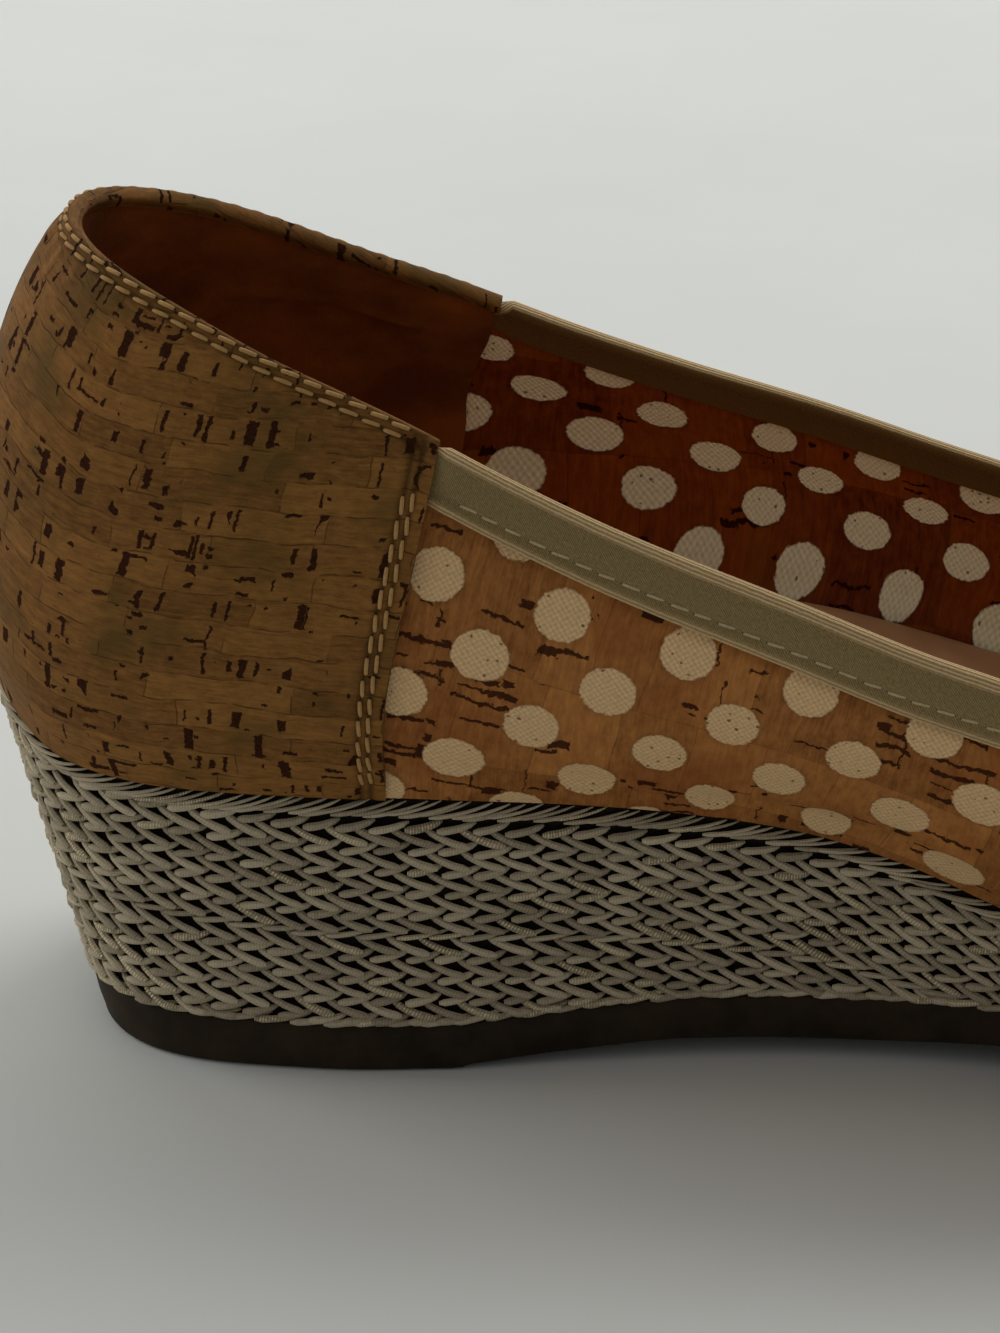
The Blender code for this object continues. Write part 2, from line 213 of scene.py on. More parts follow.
def wrapped(turn: Array) -> Array:
    """Bring turns that pass the toe back to the other side."""
    turn = np.asarray(turn, dtype=float)
    return np.where(np.abs(turn) > 1.0, turn - 2.0 * np.sign(turn), turn)


def flat_vectors(plan: Array) -> Array:
    """Give plan vectors a height of nought."""
    return np.concatenate([plan, np.zeros(plan.shape[:-1] + (1,))], axis=-1)


def unit(vectors: Array) -> Array:
    """Scale vectors to a length of one."""
    return vectors / np.maximum(np.linalg.norm(vectors, axis=-1, keepdims=True), 1e-9)


def bell(value: Array, middle: float, breadth: float) -> Array:
    """Give a soft bell of height one round a middle."""
    return np.exp(-((value - middle) / breadth) ** 2)


def eased(value: Array, low: float, high: float) -> Array:
    """Give a soft step from 0 at low to 1 at high."""
    share = np.clip((value - low) / (high - low), 0.0, 1.0)
    return share * share * (3.0 - 2.0 * share)


def path_length(points: Array, axis: int = 0) -> Array:
    """Give the distance along lines of points.

    Args:
        points: A line of points, or a grid of them.
        axis: The axis that the lines run along.

    Returns:
        The distance of each point from the start of its line.
    """
    steps = np.linalg.norm(np.diff(points, axis=axis), axis=-1)
    start = np.zeros_like(steps.take([0], axis=axis))
    return np.concatenate([start, np.cumsum(steps, axis=axis)], axis=axis)


def read_along(at: Union[float, Array], key: Array, columns: Array) -> Array:
    """Read each column of a table at places along its key."""
    return np.stack([np.interp(at, key, column) for column in columns.T], axis=-1)


def laid_flat(grid: Array, column: int) -> Array:
    """Lay a grid of points out flat: the length along one column, and the distance along each row."""
    across = path_length(grid, axis=1)
    return np.stack([np.broadcast_to(path_length(grid[:, column])[:, None], across.shape), across], axis=2)


def loop_turns(steps: int) -> Array:
    """Give the turns once round the shoe, along the inner side first."""
    one_side = np.linspace(0.0, 1.0, steps + 1)
    return np.concatenate([-one_side, one_side[-2:0:-1]])


@dataclass(frozen=True)
class Outline:
    """A closed outline in plan, with rounded ends at the heel and the toe."""
    chart: Chart
    half: str
    back: float
    tip: float
    heel_round: float
    heel_power: float
    toe_round: float
    toe_power: float
    samples: int = 1600

    @cached_property
    def rails(self) -> dict[float, tuple[Array, Array]]:
        """Give the points of each side and the distance along them, from the heel to the toe.

        Returns:
            Points and distances, by side.
        """
        share = 0.5 - 0.5 * np.cos(np.linspace(0.0, np.pi, self.samples))
        along = self.back + (self.tip - self.back) * share
        heel = np.clip((self.back + self.heel_round - along) / self.heel_round, 0.0, 1.0)
        toe = np.clip((along - self.tip + self.toe_round) / self.toe_round, 0.0, 1.0)
        heel_taper = (1.0 - heel ** self.heel_power) ** (1.0 / self.heel_power)
        toe_taper = (1.0 - toe ** self.toe_power) ** (1.0 / self.toe_power)
        half = self.chart.at(self.half, along) * heel_taper * toe_taper
        swing = self.chart.at("swing", along)
        sides = {side: np.stack([along, swing + side * half], axis=1) for side in (-1.0, 1.0)}
        return {side: (points, path_length(points)) for side, points in sides.items()}

    def plan(self, turn: Array) -> Array:
        """Give the outline's points at the given turns.

        Args:
            turn: Turns, spaced by length along each side.

        Returns:
            Points in plan.
        """
        turn = wrapped(turn)
        flat = np.zeros(turn.shape + (2,))
        for side, (points, length) in self.rails.items():
            chosen = turn * side >= 0.0
            share = np.abs(turn[chosen]) * length[-1]
            flat[chosen] = read_along(share, length, points)
        return flat

    def outward(self, turn: Array) -> Array:
        """Give unit vectors in plan that point out of the outline."""
        step = self.plan(turn + SMALL) - self.plan(turn - SMALL)
        return unit(np.stack([-step[..., 1], step[..., 0]], axis=-1))


@dataclass(frozen=True)
class Crease:
    """A soft trough in a wall with a low ridge on each side of it.

    Turn and level give its middle, reach its half length in turns and breadth its half width in levels.
    Tilt is the rise in levels over its half length, ridge the ridges' height as a share of the depth, and
    ridge_at their distance from the middle in half widths.
    """
    turn: float
    level: float
    reach: float
    breadth: float
    depth: float
    tilt: float = 0.0
    ridge: float = 0.45
    ridge_at: float = 1.9

    def press(self, turn: Array, level: Array) -> Array:
        """Give how deep the trough presses in over a grid.

        Args:
            turn: Turns of the grid's rows.
            level: Levels of the grid's columns.

        Returns:
            Depths in millimetres.
        """
        along = wrapped(turn - self.turn)[:, None] / self.reach
        across = (level[None, :] - self.level - self.tilt * along) / self.breadth
        trough = bell(across, 0.0, 1.0) - self.ridge * bell(np.abs(across), self.ridge_at, 1.0)
        return self.depth * np.exp(-along ** 2) * trough


@dataclass
class Last:
    """The shoe's form: outlines of the sole, the feather line, the topline and the wall between them."""
    gap: float = 0.3
    wall: float = 2.0
    rib_steps: int = 121
    skive_start: float = 0.3
    skived: float = 6.0
    edge_share: float = 0.45
    outsole_thick: float = 6.6
    tread_line: Outline = Outline(SOLE, "tread", 13.5, 257.0, 27.0, 2.9, 66.0, 2.25)
    shoulder_line: Outline = Outline(SOLE, "tread", 11.8, 259.5, 29.0, 2.7, 67.0, 2.25)
    feather_line: Outline = Outline(SOLE, "feather", 0.4, 263.5, 37.0, 2.3, 70.0, 2.2)
    top_line: Outline = Outline(TOPLINE, "half", 11.5, 192.0, 30.0, 2.2, 44.0, 2.2)

    def origin(self) -> Vector:
        """Give the place of the shoe's millimetres in the frame, from the box of the solid outsole.

        Returns:
            The place of their origin in metres.
        """
        low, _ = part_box("outsole")
        turn = loop_turns(400)
        nearest = min(line.plan(turn)[:, 1].min() for line in (self.shoulder_line, self.tread_line))
        return Vector((low[0] - self.shoulder_line.back * MM, low[1] - nearest * MM, 0.0))

    @staticmethod
    def ring(line: Outline, column: str, turn: Array, inset: float, raised: float) -> Array:
        """Give points of an outline at a height from the sole's chart.

        Args:
            line: The outline.
            column: The chart's column of heights.
            turn: Turns round the shoe.
            inset: Distance drawn in from the outline.
            raised: Distance over the chart's height.

        Returns:
            Points.
        """
        flat = line.plan(turn)
        height = SOLE.at(column, flat[:, 0]) + raised
        return np.column_stack([flat - inset * line.outward(turn), height])

    def tread(self, turn: Array, inset: float = 0.0, raised: float = 0.0) -> Array:
        """Give points of the outsole's lower edge, drawn in and raised."""
        return self.ring(self.tread_line, "lift", turn, inset, raised)

    def shoulder(self, turn: Array, inset: float = 0.0) -> Array:
        """Give points of the outsole's upper edge, drawn in."""
        return self.ring(self.shoulder_line, "lift", turn, inset, self.outsole_thick)

    def feather(self, turn: Array, inset: float = 0.0, raised: float = 0.0) -> Array:
        """Give points of the feather line, drawn in and raised."""
        return self.ring(self.feather_line, "seat", turn, inset, raised)

    def join(self, turn: Array) -> Array:
        """Give the turn along the topline that each rib reaches."""
        return MATCH.at("topline", np.abs(turn)) * np.where(turn < 0.0, -1.0, 1.0)

    def rim(self, join: Array) -> Array:
        """Give points of the topline."""
        flat = self.top_line.plan(join)
        return np.column_stack([flat, TOPLINE.at("height", flat[:, 0])])

    def ribs(self, turn: Array, level: Array) -> Array:
        """Give the wall's outer face.

        Args:
            turn: Turns of the ribs.
            level: Levels up each rib.

        Returns:
            A grid of points, one row for each rib.
        """
        turn = wrapped(turn)
        join = self.join(turn)
        low, high = self.feather(turn, raised=self.gap), self.rim(join)
        reach = {}
        for name in ("out_low", "rise_low", "out_high", "drop_high"):
            both = INNER_RIBS.at(name, np.abs(turn)), OUTER_RIBS.at(name, np.abs(turn))
            reach[name] = np.where(turn < 0.0, *both)[:, None]
        up = np.array([0.0, 0.0, 1.0])
        low_out = flat_vectors(self.feather_line.outward(turn)) * reach["out_low"]
        high_out = flat_vectors(self.top_line.outward(join)) * reach["out_high"]
        low_handle = low + low_out + up * reach["rise_low"]
        high_handle = high + high_out - up * reach["drop_high"]
        t = np.asarray(level, dtype=float)[None, :, None]
        s = 1.0 - t
        lower = s ** 3 * low[:, None] + 3.0 * s * s * t * low_handle[:, None]
        return lower + 3.0 * s * t * t * high_handle[:, None] + t ** 3 * high[:, None]

    def normals(self, turn: Array, level: Array) -> Array:
        """Give unit normals of the wall's outer face."""
        around, upward = (self.ribs(turn + aside, level + up) - self.ribs(turn - aside, level - up)
                          for aside, up in ((SMALL, 0.0), (0.0, SMALL)))
        return unit(np.cross(upward, around))

    def face(self, turn: Array, level: Array, stand: Union[float, Array],
             creases: Sequence[Crease] = ()) -> Array:
        """Give a face that stands off the wall's outer face along its normal.

        Args:
            turn: Turns of the ribs.
            level: Levels up each rib.
            stand: Distance off the outer face, negative towards the inside.
            creases: Troughs that press it inwards.

        Returns:
            A grid of points.
        """
        off = np.array(np.broadcast_to(stand, (len(turn), len(level))))
        for crease in creases:
            off -= crease.press(turn, level)
        return self.ribs(turn, level) + off[:, :, None] * self.normals(turn, level)

    def patch(self, turns: Array, level: Array, stand: Union[float, Array],
              creases: Sequence[Crease] = ()) -> Array:
        """Give a face whose turns differ from level to level.

        Args:
            turns: Turns of each point, with a column for each level.
            level: Levels up the wall.
            stand: Distance off the outer face.
            creases: Troughs that press it inwards.

        Returns:
            A grid of points.
        """
        off = np.broadcast_to(stand, turns.shape)
        columns = []
        for k in range(len(level)):
            columns.append(self.face(turns[:, k], level[k:k + 1], off[:, k:k + 1], creases))
        return np.concatenate(columns, axis=1)

    def depth(self, turn: Array, level: Array) -> Array:
        """Give the distance below the topline of each place of a grid of the wall."""
        steps = np.linalg.norm(np.diff(self.ribs(turn, np.append(level, 1.0)), axis=1), axis=2)
        return np.cumsum(steps[:, ::-1], axis=1)[:, ::-1]

    def skive(self, depth: Array) -> Array:
        """Give the share of a layer's thickness that is left at a distance below the topline."""
        return self.edge_share + (1.0 - self.edge_share) * eased(depth, self.skive_start, self.skived)

    def pattern(self, turn: Array, level: Array, cloth: Optional[Chart] = None,
                samples: int = 1200) -> Array:
        """Give the wall's flat cutting pattern: each rib laid out straight from the opened-out topline.

        Args:
            turn: Turns of the ribs.
            level: Levels up each rib.
            cloth: Length of cloth that is taken up by the distance below the topline.
            samples: Steps along each side of the topline.

        Returns:
            A grid of flat coordinates in millimetres.
        """
        join = self.join(wrapped(turn))
        base = np.zeros((len(turn), 2))
        for side in (-1.0, 1.0):
            share = np.linspace(1.0, 0.0, samples)
            points = self.rim(side * share)
            step = np.diff(points[:, :2], axis=0)
            run = np.maximum(np.linalg.norm(step, axis=1), 1e-9)
            step *= (np.linalg.norm(np.diff(points, axis=0), axis=1) / run)[:, None]
            laid = np.concatenate([points[:1, :2], points[0, :2] + np.cumsum(step, axis=0)])
            chosen = join < 0.0 if side < 0.0 else join >= 0.0
            base[chosen] = read_along(-np.abs(join[chosen]), -share, laid)
        out = self.top_line.outward(join)
        ahead = np.stack([out[:, 1], -out[:, 0]], axis=1)
        run = unit(self.rim(join + SMALL) - self.rim(join - SMALL))
        run *= np.sign(np.sum(run[:, :2] * ahead, axis=1))[:, None]
        drop = unit(self.ribs(turn, level) - self.rim(join)[:, None])
        drop[:, -1] = drop[:, -2]
        lean = np.sum(drop * run[:, None], axis=2)[:, :, None]
        way = lean * ahead[:, None] + np.sqrt(1.0 - lean ** 2) * out[:, None]
        length = self.depth(turn, level)
        if cloth is not None:
            length = cloth.at("cloth", length)
        return base[:, None] + length[:, :, None] * way

    def fold_over(self, turn: Array, stand: Union[float, Array], outside: Sequence[float],
                  inside: Sequence[float], layers: float, crest: float, steps: int = 9) -> Array:
        """Fold a strip over the topline.

        Args:
            turn: Turns of the ribs.
            stand: Distance of the strip's face off the wall, the same all over or by place across the strip.
            outside: Distances down the outer face, from the strip's lower edge to the topline.
            inside: Distances down the inner face, from the topline to the strip's other edge.
            layers: Thickness of the wall that it folds over, below the skived edge.
            crest: Height of the fold's middle over the topline.
            steps: Steps over the topline.

        Returns:
            A grid of points, one row for each rib.
        """
        level = np.linspace(0.0, 1.0, self.rib_steps)
        skin, lean, depth = self.ribs(turn, level), self.normals(turn, level), self.depth(turn, level)
        climb = unit(skin[:, -1] - skin[:, -3])
        angle = np.linspace(0.0, np.pi, steps)
        first = len(outside)
        places = np.concatenate([outside, inside])
        walls = layers * self.skive(np.concatenate([[0.0], inside]))
        sheet = np.zeros((len(turn), len(places) + steps, 3))
        off = np.broadcast_to(stand, sheet.shape[:2])
        for rib in range(len(turn)):
            at = np.interp(places, depth[rib, ::-1], level[::-1])
            base = read_along(at, level, skin[rib])
            side = unit(read_along(at, level, lean[rib]))
            top = lean[rib, -1]
            over = np.cos(angle)[:, None] * top + np.sin(angle)[:, None] * climb[rib]
            rim = skin[rib, -1] + crest * climb[rib]
            rim = rim - top * (0.5 * walls[0] * (1.0 - np.cos(angle)))[:, None]
            starts = np.concatenate([base[:first], rim, base[first:] - walls[1:, None] * side[first:]])
            ways = np.concatenate([side[:first], over, -side[first:]])
            sheet[rib] = starts + ways * off[rib][:, None]
        return sheet


class Sketch:
    """Draws the nodes of one material."""

    def __init__(self, name: str) -> None:
        """Start a material with one shader.

        Args:
            name: The material's name.
        """
        self.material = bpy.data.materials.new(name)
        self.material.use_nodes = True
        self.tree = self.material.node_tree
        self.shader = self.tree.nodes["Principled BSDF"]

    def node(self, kind: str, values: Mapping[Union[str, int], Value], out: Union[str, int] = 0,
             **settings: object) -> Socket:
        """Add a node.

        Args:
            kind: Node type, without its common prefix.
            values: Inputs by name or number: a socket to link or a value to set.
            out: The output to give back.
            settings: Other settings of the node.

        Returns:
            The chosen output.
        """
        made = self.tree.nodes.new("ShaderNode" + kind)
        for key, setting in settings.items():
            setattr(made, key, setting)
        for key, value in values.items():
            if isinstance(value, Socket):
                self.tree.links.new(value, made.inputs[key])
            else:
                made.inputs[key].default_value = value
        return made.outputs[out]

    def sums(self, operation: str, *values: Value) -> Socket:
        """Add a node that works out a number."""
        return self.node("Math", dict(enumerate(values)), operation=operation)

    def times(self, first: Value, second: Value) -> Socket:
        """Multiply two numbers."""
        return self.sums("MULTIPLY", first, second)

    def blend(self, value: Value, factor: Value, extra: Value) -> Socket:
        """Multiply a number by a factor and add an extra."""
        return self.sums("MULTIPLY_ADD", value, factor, extra)

    def most(self, first: Value, second: Value) -> Socket:
        """Give the larger of two numbers."""
        return self.sums("MAXIMUM", first, second)

    def rest(self, value: Value) -> Socket:
        """Give one less a number."""
        return self.sums("SUBTRACT", 1.0, value)

    def mix(self, share: Value, first: Value, second: Value) -> Socket:
        """Mix two colours by a share."""
        pair = [(*v, 1.0) if isinstance(v, tuple) else v for v in (first, second)]
        return self.node("Mix", {0: share, 6: pair[0], 7: pair[1]}, out=2, data_type="RGBA")

    def choose(self, share: Value, first: Value, second: Value) -> Socket:
        """Mix two numbers by a share."""
        return self.node("Mix", {0: share, 2: first, 3: second}, data_type="FLOAT")

    def flat(self) -> Socket:
        """Give the piece's flat coordinates in millimetres."""
        return self.node("UVMap", {}, uv_map="pattern")

    def solid(self) -> Socket:
        """Give the place in the shoe in metres."""
        return self.node("TexCoord", {}, out="Object")

    def mark(self, name: str) -> Socket:
        """Give a mark of the piece's points."""
        return self.node("Attribute", {}, out="Fac", attribute_name=name)

    def split(self, place: Value) -> tuple[Socket, Socket]:
        """Give the first two coordinates of a place."""
        first = self.node("SeparateXYZ", {0: place})
        return first, first.node.outputs[1]

    def stretched(self, place: Value, *factors: float) -> Socket:
        """Stretch coordinates by a factor for each axis."""
        return self.node("VectorMath", {0: place, 1: factors}, operation="MULTIPLY")

    def noise(self, place: Value, scale: float, detail: float = 2.0,
              rough: float = 0.5) -> Socket:
        """Give cloudy noise from 0 to 1."""
        return self.node("TexNoise", {"Vector": place, "Scale": scale, "Detail": detail, "Roughness": rough})

    def step(self, value: Value, low: float, high: float) -> Socket:
        """Give a soft step from 0 at low to 1 at high."""
        return self.node("MapRange", {0: value, 1: low, 2: high}, interpolation_type="SMOOTHSTEP")

    def wave(self, value: Value, period: float) -> Socket:
        """Give a wave between 0 and 1."""
        return self.blend(self.sums("SINE", self.times(value, math.tau / period)), 0.5, 0.5)

    def shifted(self, place: Value, scale: float, amount: float) -> Socket:
        """Shift coordinates by cloudy noise.

        Args:
            place: The coordinates.
            scale: Scale of the noise.
            amount: The largest shift.

        Returns:
            The shifted coordinates.
        """
        cloud = self.node("TexNoise", {"Vector": place, "Scale": scale, "Detail": 2.0}, out="Color")
        centred = self.node("VectorMath", {0: cloud, 1: (0.5, 0.5, 0.5)}, operation="SUBTRACT")
        scaled = self.node("VectorMath", {0: centred, 3: 2.0 * amount}, operation="SCALE")
        return self.node("VectorMath", {0: place, 1: scaled}, operation="ADD")

    def planks(self, place: Value, length: float, height: float) -> tuple[Socket, Socket]:
        """Draw the planks of a veneer.

        Args:
            place: Flat coordinates.
            length: Length of a plank in millimetres.
            height: Height of a row of planks.

        Returns:
            The tone of each plank, and the seams between them.
        """
        values = {"Vector": place, "Scale": 1.0, "Mortar Size": 0.09, "Mortar Smooth": 0.6,
                  "Brick Width": length, "Row Height": height, "Color1": (1, 1, 1, 1),
                  "Color2": (0, 0, 0, 1), "Mortar": (0.5, 0.5, 0.5, 1)}
        tone = self.node("TexBrick", values, out="Color", offset=0.37, squash=0.7, squash_frequency=3)
        return tone, tone.node.outputs["Fac"]

    def strokes(self, place: Value, width: float, height: float, share: Value, small: float = 0.2,
                spread: float = 0.2) -> Socket:
        """Scatter short strokes over a surface.

        Args:
            place: Flat coordinates.
            width: Breadth of the cell that holds a stroke, in millimetres.
            height: Height of that cell.
            share: Share of the cells that hold one.
            small: Size of the smallest stroke as a share of its cell.
            spread: Difference to the largest.

        Returns:
            1 inside the strokes and 0 outside.
        """
        values = {"Vector": self.stretched(place, 1.0 / width, 1.0 / height, 1.0), "Scale": 1.0}
        away = self.node("TexVoronoi", values, voronoi_dimensions="2D")
        lot = self.node("SeparateColor", {0: away.node.outputs["Color"]})
        size = self.blend(lot.node.outputs[1], spread, small)
        inside = self.step(self.sums("SUBTRACT", size, away), 0.0, 0.05)
        return self.times(inside, self.sums("LESS_THAN", lot, share))

    def bars(self, place: Value, cell: Pair, share: Value, breadth: Pair,
             tallness: Pair, seed: float) -> Socket:
        """Scatter bars in rows, one at most in each cell of a grid.

        Args:
            place: Flat coordinates.
            cell: Breadth and height of a cell in millimetres.
            share: Share of the cells that hold a bar.
            breadth: Smallest and largest half breadth of a bar in millimetres.
            tallness: Smallest and largest half height.
            seed: Number that sets one scatter apart from another.

        Returns:
            1 inside the bars and 0 outside.
        """
        grid = self.stretched(place, 1.0 / cell[0], 1.0 / cell[1], 0.0)
        number = self.node("VectorMath", {0: grid}, operation="FLOOR")
        number = self.node("VectorMath", {0: number, 1: (seed, 3.0 * seed, 0.0)}, operation="ADD")
        lot = self.node("TexWhiteNoise", {"Vector": number}, noise_dimensions="2D")
        chance = self.node("SeparateColor", {0: lot.node.outputs["Color"]}).node.outputs
        inside = self.sums("LESS_THAN", lot, share)
        places = self.split(self.node("VectorMath", {0: grid}, operation="FRACTION"))
        sizes = (breadth, chance[0], chance[1]), (tallness, chance[1], chance[2])
        for size, where, (half, wander, growth) in zip(cell, places, sizes):
            room = 1.0 - 2.0 * half[1] / size
            middle = self.blend(wander, room, 0.5 - 0.5 * room)
            away = self.times(self.sums("ABSOLUTE", self.sums("SUBTRACT", where, middle)), size)
            reach = self.sums("SUBTRACT", self.blend(growth, half[1] - half[0], half[0]), away)
            inside = self.times(inside, self.step(reach, -0.05, 0.07))
        return inside

    def relief(self, height: Value, millimetres: float) -> Socket:
        """Give the normal of a relief of the given height."""
        return self.node("Bump", {"Height": height, "Distance": millimetres * MM, "Strength": 1.0})

    def done(self, **values: Value) -> Material:
        """Set the shader's inputs.

        Args:
            values: Inputs by name, with _ for a space: a socket to link or a value to set.

        Returns:
            The finished material.
        """
        for key, value in values.items():
            socket = self.shader.inputs[key.replace("_", " ")]
            if isinstance(value, Socket):
                self.tree.links.new(value, socket)
            else:
                socket.default_value = value
        return self.material


@dataclass(frozen=True)
class FleckedCork:
    """Cork veneer of thin planks with dark upright flecks, as on the counter."""
    name: str = "flecked_cork"
    light: Colour = srgb(158, 110, 56)
    dark: Colour = srgb(94, 60, 26)
    moss: Colour = srgb(88, 70, 31)
    fleck: Colour = srgb(30, 13, 11)
    crumb: Colour = srgb(56, 27, 15)
    plank_length: float = 17.0
    row: float = 3.6

    def make(self) -> Material:
        """Draw the material on the flat pattern, with painted shade along the sewn rows where the mark called
        sewn is set.

        Returns:
            The finished material.
        """
        s = Sketch(self.name)
        flat = s.flat()
        place = s.shifted(flat, 0.16, 0.9)
        plank, seam = s.planks(place, self.plank_length, self.row)
        grain = s.noise(s.stretched(place, 0.22, 2.4, 1.0), 1.0, 6.0, 0.7)
        mottle = s.noise(s.stretched(flat, 0.5, 0.9, 1.0), 1.0, 4.0, 0.7)
        cloud = s.noise(flat, 0.07, 3.0, 0.6)
        shade = s.blend(plank, 0.42, s.blend(grain, 1.3, s.blend(mottle, 1.2, -0.97)))
        tone = s.mix(shade, self.dark, self.light)
        tone = s.mix(s.times(s.step(cloud, 0.46, 0.70), 0.65), tone, self.moss)
        marks = self.flecks(s, flat)
        splits = s.times(seam, s.step(s.noise(flat, 0.35, 2.0), 0.42, 0.58))
        sewn = s.mark("sewn")
        crumbs = s.step(s.noise(flat, 2.4, 3.0, 0.7), 0.34, 0.6)
        colour = s.mix(s.times(splits, 0.42), tone, dimmed(self.dark, 0.4))
        colour = s.mix(s.times(marks, 0.95), colour, s.mix(crumbs, self.fleck, self.crumb))
        # painted shade: the cork is darkened along the sewn rows, for the shade in their stitch grooves
        colour = s.mix(s.times(sewn, 0.7), colour, dimmed(self.dark, 0.3))
        height = s.sums("SUBTRACT", s.times(grain, 0.8), s.most(marks, splits))
        rough = s.most(s.blend(grain, 0.2, 0.5), marks)
        return s.done(Base_Color=colour, Roughness=rough, Normal=s.relief(height, 0.2),
                      Specular_IOR_Level=0.06)

    def flecks(self, s: Sketch, flat: Socket) -> Socket:
        """Scatter the flecks: upright bars in the planks' rows, bunched and joined by lying ones.

        Args:
            s: The material that is drawn.
            flat: Flat coordinates.

        Returns:
            1 inside the flecks and 0 outside.
        """
        bunch = s.step(s.noise(flat, 0.16, 2.0), 0.40, 0.62)
        jagged = s.shifted(s.shifted(s.shifted(flat, 0.55, 0.5), 1.9, 0.3), 5.5, 0.14)
        layers = (
            s.bars(jagged, (2.7, self.row), s.blend(bunch, 0.26, 0.035), (0.22, 0.66), (0.8, 1.7), 7.0),
            s.bars(jagged, (1.5, self.row), s.blend(bunch, 0.20, 0.025), (0.13, 0.26), (0.6, 1.65), 19.0),
            s.bars(jagged, (4.2, 0.5 * self.row), s.times(bunch, 0.20), (0.7, 1.7), (0.14, 0.34), 31.0),
            s.bars(jagged, (1.9, 1.3), s.blend(bunch, 0.08, 0.025), (0.15, 0.5), (0.12, 0.3), 43.0),
        )
        return reduce(s.most, layers)


